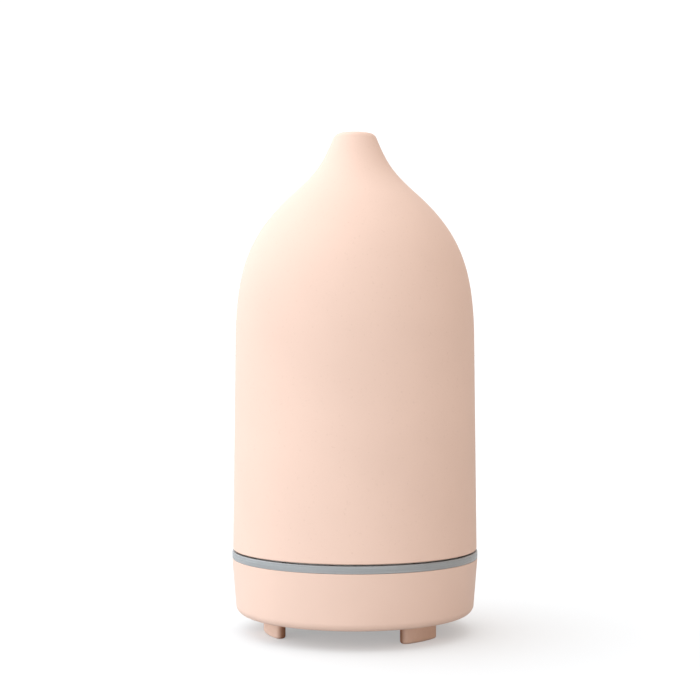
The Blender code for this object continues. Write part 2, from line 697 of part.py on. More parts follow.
def make_bottom_cover(shop):
    """Round plate under the base: posts above, foot recesses and vents below."""
    plate = shop.piece(
        "bottom_cover",
        lambda bm: cylinder(bm, BOTTOM_RADIUS, 0.0, BOTTOM_THICKNESS, sides=ROUND),
        base_plastic(),
        (0, 0, BASE_BOTTOM),
    )
    middle = BASE_BOTTOM + BOTTOM_THICKNESS / 2

    def posts(bm):
        for x, y in fan_corners():
            cylinder(bm, POST_RADIUS, middle, FAN_BOTTOM - TOUCH, x, y)
        for x, y in board_screw_places():
            cylinder(bm, POST_RADIUS, middle, BOARD_BOTTOM - TOUCH, x, y)
        rest_end = REAR_BOARD_Y - TOUCH
        box(bm, (-JACK_WIDTH / 3, JACK_WIDTH / 3),
            (rest_end - SOCKET_REST_DEPTH, rest_end), (middle, JACK_BOTTOM - TOUCH))

    def ribs(bm):
        for side in (-1, 1):
            box(bm, (side * RIB_OFFSET - RIB_HALF, side * RIB_OFFSET + RIB_HALF),
                (REAR_BOARD_Y - RIB_HALF, REAR_BOARD_Y + REAR_BOARD_THICKNESS + RIB_HALF),
                (middle, BOARD_BOTTOM + RIB_GRIP))

    def rib_slots(bm):
        box(bm, (-REAR_BOARD_LENGTH / 2, REAR_BOARD_LENGTH / 2),
            (REAR_BOARD_Y - TOUCH, REAR_BOARD_Y + REAR_BOARD_THICKNESS + TOUCH),
            (BOARD_BOTTOM - TOUCH, BOARD_BOTTOM + RIB_GRIP + OVERRUN))

    def holes(bm):
        for x, y in fan_screw_corners():
            cylinder(bm, PASS_RADIUS, BOTTOM_TOP - END_SPACE, FAN_BOTTOM + OVERRUN, x, y)
        for x, y in board_screw_places():
            cylinder(bm, PASS_RADIUS, BOTTOM_TOP - END_SPACE, BOARD_BOTTOM + OVERRUN, x, y)
        for angle in BOTTOM_SCREW_ANGLES:
            x, y = polar(BOTTOM_SCREW_RADIUS, angle)
            cylinder(bm, PASS_RADIUS, BASE_BOTTOM - OVERRUN, BOTTOM_TOP + OVERRUN, x, y)

    def screw_sinks(bm):
        for angle in BOTTOM_SCREW_ANGLES:
            x, y = polar(BOTTOM_SCREW_RADIUS, angle)
            cylinder(bm, HEAD_RADIUS + SLIP, BASE_BOTTOM - OVERRUN,
                     BASE_BOTTOM + SCREW_SINK, x, y)

    def vents(bm):
        reach = FAN_BORE - VENT_WIDTH / 2
        for index in range(VENT_COUNT):
            offset = (index - (VENT_COUNT - 1) / 2) * VENT_PITCH
            half = math.sqrt(reach ** 2 - offset ** 2) - VENT_WIDTH / 2
            box(bm, (FAN_X + offset - VENT_WIDTH / 2, FAN_X + offset + VENT_WIDTH / 2),
                (-half, half), (BASE_BOTTOM - OVERRUN, BOTTOM_TOP + OVERRUN))

    shop.shape(plate, "UNION", "posts", posts)
    shop.shape(plate, "UNION", "ribs", ribs)
    shop.shape(plate, "DIFFERENCE", "rib_slots", rib_slots)
    shop.shape(plate, "DIFFERENCE", "holes", holes)
    shop.shape(plate, "DIFFERENCE", "screw_sinks", screw_sinks)
    shop.shape(plate, "DIFFERENCE", "vents", vents)
    for name, angle in FOOT_ANGLES.items():
        recess = shop.extruded(name + "_recess", foot_outline(angle, SLIP),
                               BASE_BOTTOM - OVERRUN, BASE_BOTTOM + FOOT_RECESS,
                               None, shop.cutters)
        shop.apply(plate, "DIFFERENCE", shop.hide(recess))


# --- Water tank, air duct and lid -----------------------------------------------------
def make_tank(shop):
    """White tank on a flange; its floor has a window over the mist disc."""
    upstand_outer = COVER_INSIDE - UPSTAND_SLIP
    upstand_inner = upstand_outer - UPSTAND_THICKNESS
    upstand_top = FLANGE_TOP + UPSTAND_HEIGHT
    outline = [
        (TANK_RADIUS, TANK_RIM),
        (TANK_RADIUS, FLANGE_TOP),
        (upstand_inner, FLANGE_TOP),
        (upstand_inner, upstand_top),
        (upstand_outer, upstand_top),
        (upstand_outer, FLANGE_TOP),
        (FLANGE_RADIUS, FLANGE_TOP),
        (FLANGE_RADIUS, FLANGE_TOP - FLANGE_EDGE),
        (FLANGE_STEP_RADIUS, FLANGE_TOP - FLANGE_EDGE),
        (FLANGE_STEP_RADIUS, FLANGE_BOTTOM),
        (TANK_INSIDE, FLANGE_BOTTOM),
        (TANK_INSIDE, FLOOR_BOTTOM),
        (WINDOW_RADIUS, FLOOR_BOTTOM),
        (WINDOW_RADIUS, FLOOR_TOP),
        (TANK_INSIDE, FLOOR_TOP + FLOOR_FALL),
        (TANK_INSIDE, TANK_RIM),
    ]
    tank = shop.turned("water_tank", outline, white_plastic())

    def bosses(bm):
        for angle in LUG_ANGLES:
            x, y = polar(LUG_SCREW_RADIUS, angle)
            cylinder(bm, BOSS_RADIUS, TANK_BOSS_BOTTOM,
                     FLANGE_BOTTOM + FLANGE_THICKNESS / 3, x, y)
        for angle in RETAINER_ANGLES:
            x, y = polar(RETAINER_SCREW_RADIUS, angle)
            cylinder(bm, BOSS_RADIUS, RETAINER_TOP + TOUCH,
                     FLOOR_BOTTOM + FLOOR_THICKNESS / 3, x, y)

    def holes(bm):
        for angle in LUG_ANGLES:
            x, y = polar(LUG_SCREW_RADIUS, angle)
            cylinder(bm, PASS_RADIUS, TANK_BOSS_BOTTOM - OVERRUN,
                     FLANGE_BOTTOM + FLANGE_THICKNESS / 2, x, y)
        for angle in RETAINER_ANGLES:
            x, y = polar(RETAINER_SCREW_RADIUS, angle)
            cylinder(bm, PASS_RADIUS, RETAINER_BOTTOM,
                     FLOOR_BOTTOM + FLOOR_THICKNESS / 2, x, y)
        cylinder(bm, DUCT_RADIUS + SLIP, FLOOR_BOTTOM - OVERRUN,
                 FLOOR_TOP + FLOOR_FALL + OVERRUN, 0.0, DUCT_OFFSET, sides=24)

    shop.shape(tank, "UNION", "bosses", bosses)
    shop.shape(tank, "DIFFERENCE", "holes", holes)


def make_air_duct(shop):
    """Riser that brings the fan's air above the water, with a flange under the floor."""
    top = TANK_RIM - DUCT_BELOW_RIM
    flange_top = FLOOR_BOTTOM - TOUCH
    flange_bottom = flange_top - DUCT_FLANGE
    bottom = flange_bottom - DUCT_WALL
    outline = [
        (DUCT_RADIUS, top),
        (DUCT_RADIUS, flange_top),
        (DUCT_RADIUS + DUCT_FLANGE, flange_top),
        (DUCT_RADIUS + DUCT_FLANGE, flange_bottom),
        (DUCT_RADIUS, flange_bottom),
        (DUCT_RADIUS, bottom),
        (DUCT_RADIUS - DUCT_WALL, bottom),
        (DUCT_RADIUS - DUCT_WALL, top),
    ]
    shop.turned("air_duct", outline, white_plastic(), (0, DUCT_OFFSET, 0), sides=24)


def make_lid(shop):
    """Domed inner lid with a tall spout that leads the mist up to the cover's mouth."""
    seat = TANK_RIM + TOUCH
    edge_top = seat + LID_EDGE_HEIGHT
    plug_radius = TANK_INSIDE - SLIP
    steps = 7
    outside = []
    inside = []
    for step in range(steps + 1):
        angle = math.radians(90 * step / steps)
        outside.append((
            SPOUT_RADIUS + (TANK_RADIUS - SPOUT_RADIUS) * math.cos(angle),
            edge_top + LID_DOME * math.sin(angle),
        ))
        inside.append((
            SPOUT_RADIUS - LID_WALL + (plug_radius - SPOUT_RADIUS) * math.cos(angle),
            edge_top + (LID_DOME - LID_WALL) * math.sin(angle),
        ))
    outline = [(SPOUT_RADIUS, SPOUT_TOP)]
    outline += list(reversed(outside))
    outline += [
        (TANK_RADIUS, seat),
        (plug_radius, seat),
        (plug_radius, seat - LID_PLUG_DEPTH),
        (plug_radius - LID_WALL, seat - LID_PLUG_DEPTH),
    ]
    outline += inside
    outline += [(SPOUT_RADIUS - LID_WALL, SPOUT_TOP)]
    shop.turned("reservoir_lid", outline, white_plastic())


# --- Mist disc ------------------------------------------------------------------------
def make_mist_disc(shop):
    """Ultrasonic disc in its seal, held up by a retainer with three screws."""
    shop.piece("mist_disc", lambda bm: cylinder(bm, DISC_RADIUS, 0, DISC_THICKNESS, sides=32),
               steel(), (0, 0, DISC_BOTTOM))
    groove = DISC_RADIUS + SLIP
    seal = [
        (groove + SEAL_WALL, SEAL_TOP),
        (groove + SEAL_WALL, DISC_BOTTOM),
        (groove, DISC_BOTTOM),
        (groove, DISC_TOP + TOUCH),
        (WINDOW_RADIUS, DISC_TOP + TOUCH),
        (WINDOW_RADIUS, SEAL_TOP),
    ]
    shop.turned("disc_seal", seal, silicone(), sides=32)
    plate = [
        (groove + SEAL_WALL, RETAINER_TOP),
        (groove + SEAL_WALL, RETAINER_BOTTOM),
        (RETAINER_BORE, RETAINER_BOTTOM),
        (RETAINER_BORE, RETAINER_TOP),
    ]
    retainer = shop.turned("disc_retainer", plate, white_plastic(), sides=32)

    def arms(bm):
        for angle in RETAINER_ANGLES:
            box(bm, (RETAINER_BORE + SLIP, RETAINER_SCREW_RADIUS),
                (-BOSS_RADIUS, BOSS_RADIUS),
                (RETAINER_BOTTOM + SLIP / 2, RETAINER_TOP - SLIP / 2), turn_z(angle))

    def ears(bm):
        for angle in RETAINER_ANGLES:
            x, y = polar(RETAINER_SCREW_RADIUS, angle)
            cylinder(bm, BOSS_RADIUS + SLIP, RETAINER_BOTTOM, RETAINER_TOP, x, y)

    def holes(bm):
        for angle in RETAINER_ANGLES:
            x, y = polar(RETAINER_SCREW_RADIUS, angle)
            cylinder(bm, PASS_RADIUS, RETAINER_BOTTOM - OVERRUN, RETAINER_TOP + OVERRUN, x, y)

    shop.shape(retainer, "UNION", "arms", arms)
    shop.shape(retainer, "UNION", "ears", ears)
    shop.shape(retainer, "DIFFERENCE", "holes", holes)


# --- Fan ------------------------------------------------------------------------------
def make_fan(shop):
    """Square fan frame with struts and a hub plate on top, and its bladed rotor."""
    half = FAN_SIZE / 2
    frame = shop.piece(
        "fan_frame",
        lambda bm: box(bm, (-half, half), (-half, half), (0, FAN_HEIGHT)),
        black_plastic(),
        (FAN_X, 0, FAN_BOTTOM),
    )

    def bore(bm):
        cylinder(bm, FAN_BORE, FAN_BOTTOM - OVERRUN, FAN_TOP + OVERRUN, FAN_X, 0, sides=32)
        for x, y in fan_corners():
            cylinder(bm, PASS_RADIUS + SLIP, FAN_BOTTOM - OVERRUN, FAN_TOP + OVERRUN, x, y)

    def struts(bm):
        for angle in STRUT_ANGLES:
            place = Matrix.Translation((FAN_X, 0, 0)) @ turn_z(angle)
            box(bm, (HUB_RADIUS / 2, FAN_BORE + SLIP), (-STRUT_HALF, STRUT_HALF),
                (FAN_TOP - HUB_PLATE, FAN_TOP - SLIP / 3), place)

    def hub(bm):
        cylinder(bm, HUB_RADIUS, FAN_TOP - HUB_PLATE - SLIP / 3, FAN_TOP - SLIP,
                 FAN_X, 0, sides=24)

    def pin(bm):
        cylinder(bm, HUB_PIN_RADIUS, FAN_BOTTOM + FAN_HEIGHT / 2, FAN_TOP - HUB_PLATE / 2,
                 FAN_X, 0)

    shop.shape(frame, "DIFFERENCE", "bore", bore)
    shop.shape(frame, "UNION", "struts", struts)
    shop.shape(frame, "UNION", "hub", hub)
    shop.shape(frame, "UNION", "pin", pin)

    rotor_height = FAN_HEIGHT - HUB_PLATE - 3 * TOUCH
    rotor_bottom = FAN_BOTTOM + TOUCH
    rotor = shop.piece(
        "fan_rotor",
        lambda bm: cylinder(bm, HUB_RADIUS, 0, rotor_height, sides=24),
        black_plastic(),
        (FAN_X, 0, rotor_bottom),
    )

    def blades(bm):
        tip = FAN_BORE - BLADE_TIP_GAP
        width = rotor_height * 0.86
        for index in range(BLADE_COUNT):
            place = (
                Matrix.Translation((FAN_X, 0, rotor_bottom + rotor_height / 2))
                @ turn_z(360 * index / BLADE_COUNT)
                @ Matrix.Rotation(BLADE_LEAN, 4, "X")
            )
            box(bm, (HUB_RADIUS * 0.8, tip), (-BLADE_THICKNESS / 2, BLADE_THICKNESS / 2),
                (-width / 2, width / 2), place)

    def bearing(bm):
        cylinder(bm, HUB_PIN_RADIUS + SLIP, FAN_BOTTOM + FAN_HEIGHT / 2 - TOUCH,
                 FAN_TOP + OVERRUN, FAN_X, 0)

    shop.shape(rotor, "UNION", "blades", blades)
    shop.shape(rotor, "DIFFERENCE", "bearing", bearing)


# --- Boards and their components ------------------------------------------------------
def block(shop, name, centre, size, bottom, finish):
    """A box-shaped component standing at a height."""
    return shop.piece(
        name,
        lambda bm: box(bm, (-size[0] / 2, size[0] / 2), (-size[1] / 2, size[1] / 2),
                       (0, size[2])),
        finish,
        (centre[0], centre[1], bottom),
    )


def make_main_board(shop):
    """Driver board beside the fan, with the parts that feed the mist disc."""
    board = block(shop, "main_board", (BOARD_X, 0), (BOARD_LENGTH, BOARD_WIDTH, BOARD_THICKNESS),
                  BOARD_BOTTOM, board_green())

    def holes(bm):
        for x, y in board_screw_places():
            cylinder(bm, PASS_RADIUS, BOARD_BOTTOM - OVERRUN, BOARD_TOP + OVERRUN, x, y)

    shop.shape(board, "DIFFERENCE", "holes", holes)
    shop.shape(board, "INTERSECT", "bay",
               lambda bm: cylinder(bm, wall_radius(BOARD_BOTTOM, BASE_WALL) - BOARD_EDGE_GAP,
                                   BOARD_BOTTOM - OVERRUN, BOARD_TOP + OVERRUN, sides=ROUND))
    seat = BOARD_TOP + TOUCH
    make_inductor(shop, seat)
    make_capacitor(shop, seat)
    for name, place, size, finish in (
        ("board_chip", CHIP_PLACE, CHIP_SIZE, black_plastic()),
        ("power_transistor", TRANSISTOR_PLACE, TRANSISTOR_SIZE, black_plastic()),
        ("disc_connector", DISC_CONNECTOR_PLACE, CONNECTOR_SIZE, board_white()),
        ("fan_connector", FAN_CONNECTOR_PLACE, CONNECTOR_SIZE, board_white()),
        ("led_connector", LED_CONNECTOR_PLACE, LED_CONNECTOR_SIZE, board_white()),
    ):
        block(shop, name, on_board(place), size, seat, finish)
    make_heat_sink(shop, seat)


def on_board(place):
    """X and Y of a place given from the main board's left edge."""
    return BOARD_LEFT + place[0], place[1]


def make_inductor(shop, seat):
    """Drum with a round bore and softened edges."""
    ease = 0.4 * MM
    side = 0.6 * MM
    outline = [
        (INDUCTOR_RADIUS - ease, INDUCTOR_HEIGHT),
        (INDUCTOR_RADIUS, INDUCTOR_HEIGHT - side),
        (INDUCTOR_RADIUS, side),
        (INDUCTOR_RADIUS - ease, 0.0),
        (INDUCTOR_BORE + ease, 0.0),
        (INDUCTOR_BORE, side),
        (INDUCTOR_BORE, INDUCTOR_HEIGHT - side),
        (INDUCTOR_BORE + ease, INDUCTOR_HEIGHT),
    ]
    shop.turned("power_inductor", outline, ferrite(), (*on_board(INDUCTOR_PLACE), seat),
                sides=20)


def make_capacitor(shop, seat):
    """Can with the crimp near its foot."""
    crimp = 1.3 * MM
    crimp_half = 0.3 * MM
    rim = 0.4 * MM
    outline = [
        (0.0, CAPACITOR_HEIGHT),
        (CAPACITOR_RADIUS - rim, CAPACITOR_HEIGHT),
        (CAPACITOR_RADIUS, CAPACITOR_HEIGHT - rim),
        (CAPACITOR_RADIUS, crimp + crimp_half),
        (CAPACITOR_RADIUS - crimp_half, crimp),
        (CAPACITOR_RADIUS, crimp - crimp_half),
        (CAPACITOR_RADIUS, 0.0),
        (0.0, 0.0),
    ]
    shop.turned("capacitor", outline, aluminium(), (*on_board(CAPACITOR_PLACE), seat),
                sides=20, on_axis=True)


def make_heat_sink(shop, seat):
    """Comb-shaped aluminium block behind the transistor."""
    near_x, middle_y = on_board(HEAT_SINK_PLACE)
    far_x = near_x + SINK_DEPTH
    groove_x = near_x + SINK_PLATE
    first = middle_y - ((SINK_FIN_COUNT - 1) * SINK_PITCH + SINK_FIN) / 2
    outline = [(near_x, first)]
    for index in range(SINK_FIN_COUNT):
        low = first + index * SINK_PITCH
        high = low + SINK_FIN
        outline += [(far_x, low), (far_x, high)]
        if index < SINK_FIN_COUNT - 1:
            outline += [(groove_x, high), (groove_x, low + SINK_PITCH)]
    outline.append((near_x, high))
    shop.extruded("heat_sink", outline, seat, LUG_TOP - TOUCH, aluminium())


def make_led_board(shop):
    """Ring-shaped board under the light ring, with its LEDs."""
    outer = LED_BOARD_OUTSIDE
    inner = LED_BOARD_INSIDE
    outline = [
        (outer, LED_BOARD_THICKNESS), (outer, 0.0), (inner, 0.0), (inner, LED_BOARD_THICKNESS),
    ]
    board = shop.turned("led_board", outline, board_white(), (0, 0, LED_BOARD_BOTTOM))

    def holes(bm):
        for angle in LUG_ANGLES:
            x, y = polar(LUG_SCREW_RADIUS, angle)
            cylinder(bm, PASS_RADIUS, LED_BOARD_BOTTOM - OVERRUN,
                     LED_BOARD_TOP + OVERRUN, x, y)

    shop.shape(board, "DIFFERENCE", "holes", holes)
    for number, angle in enumerate(LED_ANGLES, 1):
        x, y = polar((outer + inner) / 2, angle)
        led = block(shop, "led_%d" % number, (x, y), (LED_SIZE, LED_SIZE, LED_HEIGHT),
                    LED_BOARD_TOP + TOUCH, led_resin())
        led.rotation_euler.z = math.radians(angle)


# --- Rear controls --------------------------------------------------------------------
def button_places():
    """The name and the X place of each button."""
    return [("mist", -BUTTON_SPACING / 2), ("light", BUTTON_SPACING / 2)]


def make_rear_controls(shop):
    """Upright board behind the rear wall, with two switches, their buttons and a socket."""
    board_front = REAR_BOARD_Y
    board_back = REAR_BOARD_Y + REAR_BOARD_THICKNESS
    board = shop.piece(
        "rear_board",
        lambda bm: box(bm, (-REAR_BOARD_LENGTH / 2, REAR_BOARD_LENGTH / 2),
                       (board_front, board_back), (0, REAR_BOARD_HEIGHT)),
        board_green(),
        (0, 0, BOARD_BOTTOM),
    )
    shop.shape(board, "DIFFERENCE", "socket_notch",
               lambda bm: box(bm, (-JACK_WIDTH / 2 - SLIP, JACK_WIDTH / 2 + SLIP),
                              (board_front - OVERRUN, board_back + OVERRUN),
                              (BOARD_BOTTOM - OVERRUN, JACK_TOP + TOUCH)))
    for side, x in button_places():
        make_button(shop, side, x, board_back)
    make_jack(shop, board_front)


def make_button(shop, side, x, board_back):
    """One push button with its plunger and its switch."""
    switch_back = board_back + TOUCH + SWITCH_DEPTH
    plunger_end = switch_back + PLUNGER_OUT
    plunger_start = plunger_end - PLUNGER_LENGTH
    half = SWITCH_SIZE / 2
    switch = shop.piece(
        side + "_switch",
        lambda bm: box(bm, (-half, half), (board_back + TOUCH, switch_back), (-half, half)),
        black_plastic(),
        (x, 0, BUTTON_Z),
    )
    shop.shape(switch, "DIFFERENCE", "well",
               lambda bm: rear_cylinder(bm, PLUNGER_RADIUS + SLIP, x, BUTTON_Z,
                                        plunger_start - BUTTON_TRAVEL - TOUCH,
                                        switch_back + OVERRUN, SMALL_ROUND))
    shop.piece(side + "_plunger",
               lambda bm: rear_cylinder(bm, PLUNGER_RADIUS, 0, 0, plunger_start, plunger_end,
                                        SMALL_ROUND),
               white_plastic(), (x, 0, BUTTON_Z))
    flange_start = plunger_end + TOUCH
    flange_end = flange_start + BUTTON_FLANGE_THICKNESS
    button = shop.piece(
        side + "_button",
        lambda bm: rear_cylinder(bm, BUTTON_RADIUS, 0, 0,
                                 flange_start + BUTTON_FLANGE_THICKNESS / 2,
                                 BODY_RADIUS + OVERRUN),
        base_plastic(),
        (x, 0, BUTTON_Z),
    )
    shop.shape(button, "UNION", "flange",
               lambda bm: rear_cylinder(bm, BUTTON_RADIUS + BUTTON_FLANGE, x, BUTTON_Z,
                                        flange_start, flange_end))
    shop.shape(button, "INTERSECT", "face",
               lambda bm: cylinder(bm, BASE_FOOT_RADIUS + BUTTON_PROUD,
                                   BASE_BOTTOM + BASE_FILLET, BASE_TOP,
                                   top=BODY_RADIUS + BUTTON_PROUD, sides=2 * ROUND))


def make_jack(shop, board_front):
    """Power socket: a block with a nose in the rear wall, a bore and a centre pin."""
    half = JACK_WIDTH / 2
    face = math.sqrt(wall_radius(JACK_BOTTOM, BASE_WALL) ** 2 - half ** 2) - TOUCH
    nose = wall_radius(JACK_Z) - JACK_NOSE_INSET
    bore_end = nose - JACK_BORE_DEPTH
    jack = shop.piece(
        "power_socket",
        lambda bm: box(bm, (-half, half), (board_front, face), (0, JACK_HEIGHT)),
        black_plastic(),
        (0, 0, JACK_BOTTOM),
    )
    shop.shape(jack, "UNION", "nose",
               lambda bm: rear_cylinder(bm, JACK_NOSE_RADIUS, 0, JACK_Z, face - OVERRUN / 2, nose))
    shop.shape(jack, "DIFFERENCE", "bore",
               lambda bm: rear_cylinder(bm, JACK_BORE, 0, JACK_Z, bore_end, nose + OVERRUN))
    shop.piece("socket_pin",
               lambda bm: rear_cylinder(bm, JACK_PIN_RADIUS, 0, 0, bore_end + TOUCH,
                                        nose - JACK_PIN_INSET, SMALL_ROUND),
               steel(), (0, 0, JACK_Z))


# --- Screws ---------------------------------------------------------------------------
def make_screw(shop, name, x, y, head_face, tip, upward=True):
    """A pan-head screw from its head's bearing face to its tip.

    An upward screw has its head below; the other kind has its head above.
    """
    length = abs(tip - head_face)
    outline = [
        (0.0, length), (SHANK_RADIUS, length), (SHANK_RADIUS, 0.0), (HEAD_RADIUS, 0.0),
        (HEAD_RADIUS * 0.7, -HEAD_HEIGHT), (0.0, -HEAD_HEIGHT),
    ]
    screw = shop.turned(name, outline, steel(), (x, y, head_face),
                        sides=SCREW_ROUND, on_axis=True)
    if not upward:
        screw.rotation_euler.x = math.pi


def make_screws(shop):
    for number, angle in enumerate(BOTTOM_SCREW_ANGLES, 1):
        x, y = polar(BOTTOM_SCREW_RADIUS, angle)
        make_screw(shop, "bottom_screw_%d" % number, x, y, BASE_BOTTOM + SCREW_SINK - TOUCH,
                   LEDGE_TOP + BOSS_RADIUS - 2 * END_SPACE)
    for number, angle in enumerate(LUG_ANGLES, 1):
        x, y = polar(LUG_SCREW_RADIUS, angle)
        make_screw(shop, "tank_screw_%d" % number, x, y, LUG_BOTTOM - TOUCH,
                   FLANGE_BOTTOM + FLANGE_THICKNESS / 2 - END_SPACE)
    for number, angle in enumerate(RETAINER_ANGLES, 1):
        x, y = polar(RETAINER_SCREW_RADIUS, angle)
        make_screw(shop, "retainer_screw_%d" % number, x, y, RETAINER_BOTTOM - TOUCH,
                   FLOOR_BOTTOM + FLOOR_THICKNESS / 2 - END_SPACE)
    for number, (x, y) in enumerate(fan_screw_corners(), 1):
        make_screw(shop, "fan_screw_%d" % number, x, y, FAN_TOP + TOUCH,
                   BOTTOM_TOP + END_SPACE, upward=False)
    for number, (x, y) in enumerate(board_screw_places(), 1):
        make_screw(shop, "board_screw_%d" % number, x, y, BOARD_TOP + TOUCH,
                   BOTTOM_TOP + END_SPACE, upward=False)


# --- Wires ----------------------------------------------------------------------------
def smooth_path(stops, per_span=3):
    """Points on a smooth curve through the stops."""
    ends = [stops[0]] + list(stops) + [stops[-1]]
    path = []
    for index in range(len(stops) - 1):
        before, start, end, after = ends[index:index + 4]
        for step in range(per_span):
            t = step / per_span
            path.append(tuple(
                0.5 * (2 * start[k] + (end[k] - before[k]) * t
                       + (2 * before[k] - 5 * start[k] + 4 * end[k] - after[k]) * t ** 2
                       + (3 * start[k] - before[k] - 3 * end[k] + after[k]) * t ** 3)
                for k in range(3)))
    path.append(tuple(stops[-1]))
    return path


def make_wires(shop):
    """Short leads from the main board to the mist disc, the fan and the LED board."""
    top = BOARD_TOP + TOUCH + CONNECTOR_SIZE[2] + TOUCH
    disc_end = DISC_BOTTOM - TOUCH
    disc_x, disc_y = on_board(DISC_CONNECTOR_PLACE)
    shop.wire("disc_wire", smooth_path([
        (disc_x, disc_y, top),
        (disc_x, disc_y, top + 4 * MM),
        (disc_x - 4 * MM, disc_y, (top + disc_end) / 2),
        (0.0, 0.0, disc_end - 4 * MM),
        (0.0, 0.0, disc_end),
    ]), WIRE_RADIUS, wire_red())
    fan_x, fan_y = on_board(FAN_CONNECTOR_PLACE)
    fan_edge = FAN_X + FAN_SIZE / 2
    shop.wire("fan_wire", smooth_path([
        (fan_x, fan_y, top),
        (fan_x, fan_y, top + 3 * MM),
        (fan_x - 5 * MM, fan_y - 1 * MM, top + 5 * MM),
        (fan_edge - 2.5 * MM, fan_y - 2 * MM, top + 3 * MM),
        (fan_edge - 3.5 * MM, fan_y - 2.5 * MM, FAN_TOP + TOUCH + WIRE_RADIUS),
    ]), WIRE_RADIUS, wire_red())
    led_x, led_y = on_board(LED_CONNECTOR_PLACE)
    end_x, end_y = polar(LED_BOARD_INSIDE - TOUCH - WIRE_RADIUS, LED_WIRE_ANGLE)
    shop.wire("led_wire", smooth_path([
        (led_x, led_y, top),
        (led_x, led_y, top + 3 * MM),
        (led_x + 2 * MM, led_y + 6 * MM, LED_BOARD_BOTTOM),
        (end_x, end_y, LED_BOARD_TOP),
    ]), WIRE_RADIUS, wire_red())


def main():
    for old in list(bpy.data.objects):
        bpy.data.objects.remove(old)
    shop = Workshop()
    make_cover(shop)
    make_light_ring(shop)
    make_base_shell(shop)
    make_bottom_cover(shop)
    make_feet(shop)
    make_tank(shop)
    make_air_duct(shop)
    make_lid(shop)
    make_mist_disc(shop)
    make_fan(shop)
    make_main_board(shop)
    make_led_board(shop)
    make_rear_controls(shop)
    make_screws(shop)
    make_wires(shop)


main()
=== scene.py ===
"""Looks of the essential oil diffuser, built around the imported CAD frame.

Every piece is made in metres in the row frame: +Z up, front towards -Y, rear with the
buttons and the power socket towards +Y, and the feet's underside at z = 0.
"""
import math
import random
from functools import cache

import bmesh
import bpy
from mathutils import Matrix, Vector


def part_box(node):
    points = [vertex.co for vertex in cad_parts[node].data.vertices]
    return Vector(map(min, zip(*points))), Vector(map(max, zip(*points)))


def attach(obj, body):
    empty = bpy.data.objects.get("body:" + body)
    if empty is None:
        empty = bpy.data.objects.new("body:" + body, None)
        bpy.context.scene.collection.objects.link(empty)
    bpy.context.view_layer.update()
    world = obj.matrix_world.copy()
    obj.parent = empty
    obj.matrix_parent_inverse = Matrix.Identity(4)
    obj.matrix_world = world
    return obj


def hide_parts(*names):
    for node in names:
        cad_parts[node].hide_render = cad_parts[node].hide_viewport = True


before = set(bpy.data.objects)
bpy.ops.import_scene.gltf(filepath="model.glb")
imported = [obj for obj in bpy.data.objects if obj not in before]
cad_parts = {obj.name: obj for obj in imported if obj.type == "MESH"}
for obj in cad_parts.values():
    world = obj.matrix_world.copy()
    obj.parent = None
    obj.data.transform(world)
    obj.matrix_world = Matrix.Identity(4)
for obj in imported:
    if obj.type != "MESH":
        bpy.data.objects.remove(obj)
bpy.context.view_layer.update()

MM = 0.001
FINE = 192                    # sides of the large turned pieces
MEDIUM = 96                   # sides of the middle-sized turned pieces
WALL_HOLE_SIDES = 72          # sides of the holes in the base's wall and of the duct's hole
SMALL = 48                    # sides of pins and other small round pieces
GAP = 0.05 * MM               # hairline left between pieces that rest on each other
SHARP = 35.0                  # edges that turn by more degrees than this stay sharp
WELD = 1e-7                   # vertices closer than this become one
SLIVER = 1e-8                 # edges shorter than this are removed

# --- Sizes read from the frame --------------------------------------------------------
COVER_LOW, COVER_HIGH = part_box("stone_cover")
BASE_LOW, BASE_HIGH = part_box("base_shell")
RING_LOW, RING_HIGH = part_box("light_ring")
PLATE_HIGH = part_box("bottom_cover")[1]
BODY_RADIUS = BASE_HIGH.x
COVER_RADIUS = COVER_HIGH.x
COVER_BOTTOM = COVER_LOW.z
COVER_TOP = COVER_HIGH.z
BASE_BOTTOM = BASE_LOW.z
BASE_TOP = BASE_HIGH.z
RING_TOP = RING_HIGH.z

# --- Outline of the stone cover, as in the CAD ----------------------------------------
COVER_WALL = 4.0 * MM
SKIRT_HEIGHT = 80.7 * MM
DOME_HEIGHT = 50.8 * MM
NECK_HEIGHT = 20.9 * MM
SKIRT_TAPER = 0.9 * MM
NECK_RADIUS = 23.1 * MM
LIP_RADIUS = 8.1 * MM
CREST_RADIUS = 5.5 * MM
MOUTH_RADIUS = 4.2 * MM
SKIRT_LEAN = math.radians(1.7)
NECK_LEAN = math.radians(48.1)
LIP_LEAN = math.radians(22.3)
DOME_REACH = (0.44 * DOME_HEIGHT, 0.44 * DOME_HEIGHT)   # how far the curves' handles reach
NECK_REACH = (0.55 * NECK_HEIGHT, 0.50 * NECK_HEIGHT)
COVER_EASE = 0.5 * MM         # rounding of the bottom rim

# --- Base, ring, plate and feet, as in the CAD ----------------------------------------
FIT = 0.3 * MM                # clearance between neighbouring pieces in the CAD
BASE_WALL = 2.4 * MM
BASE_TAPER = 1.4 * MM
BASE_FILLET = 3.2 * MM
RIM_EASE = 0.25 * MM
LEDGE_WIDTH = 4.0 * MM
LEDGE_BOTTOM = BASE_BOTTOM + 2.4 * MM + FIT
LEDGE_TOP = LEDGE_BOTTOM + 2.0 * MM
LUG_INNER = 36.0 * MM
LUG_WIDTH = 7.0 * MM
LUG_THICKNESS = 3.0 * MM
RING_DEPTH = 2.5 * MM
RING_LIP_WIDTH = 1.7 * MM
RING_LIP_HEIGHT = 1.2 * MM
PLATE_THICKNESS = 2.4 * MM
POST_RADIUS = 2.4 * MM
RIB_OFFSET = 11.0 * MM
VENT_WIDTH = 2.2 * MM
VENT_PITCH = 4.4 * MM
VENT_COUNT = 5
FOOT_RADIUS = 34.0 * MM
FOOT_DEPTH = 4.0 * MM
FOOT_SPAN = 31.0
FOOT_RECESS = 1.0 * MM
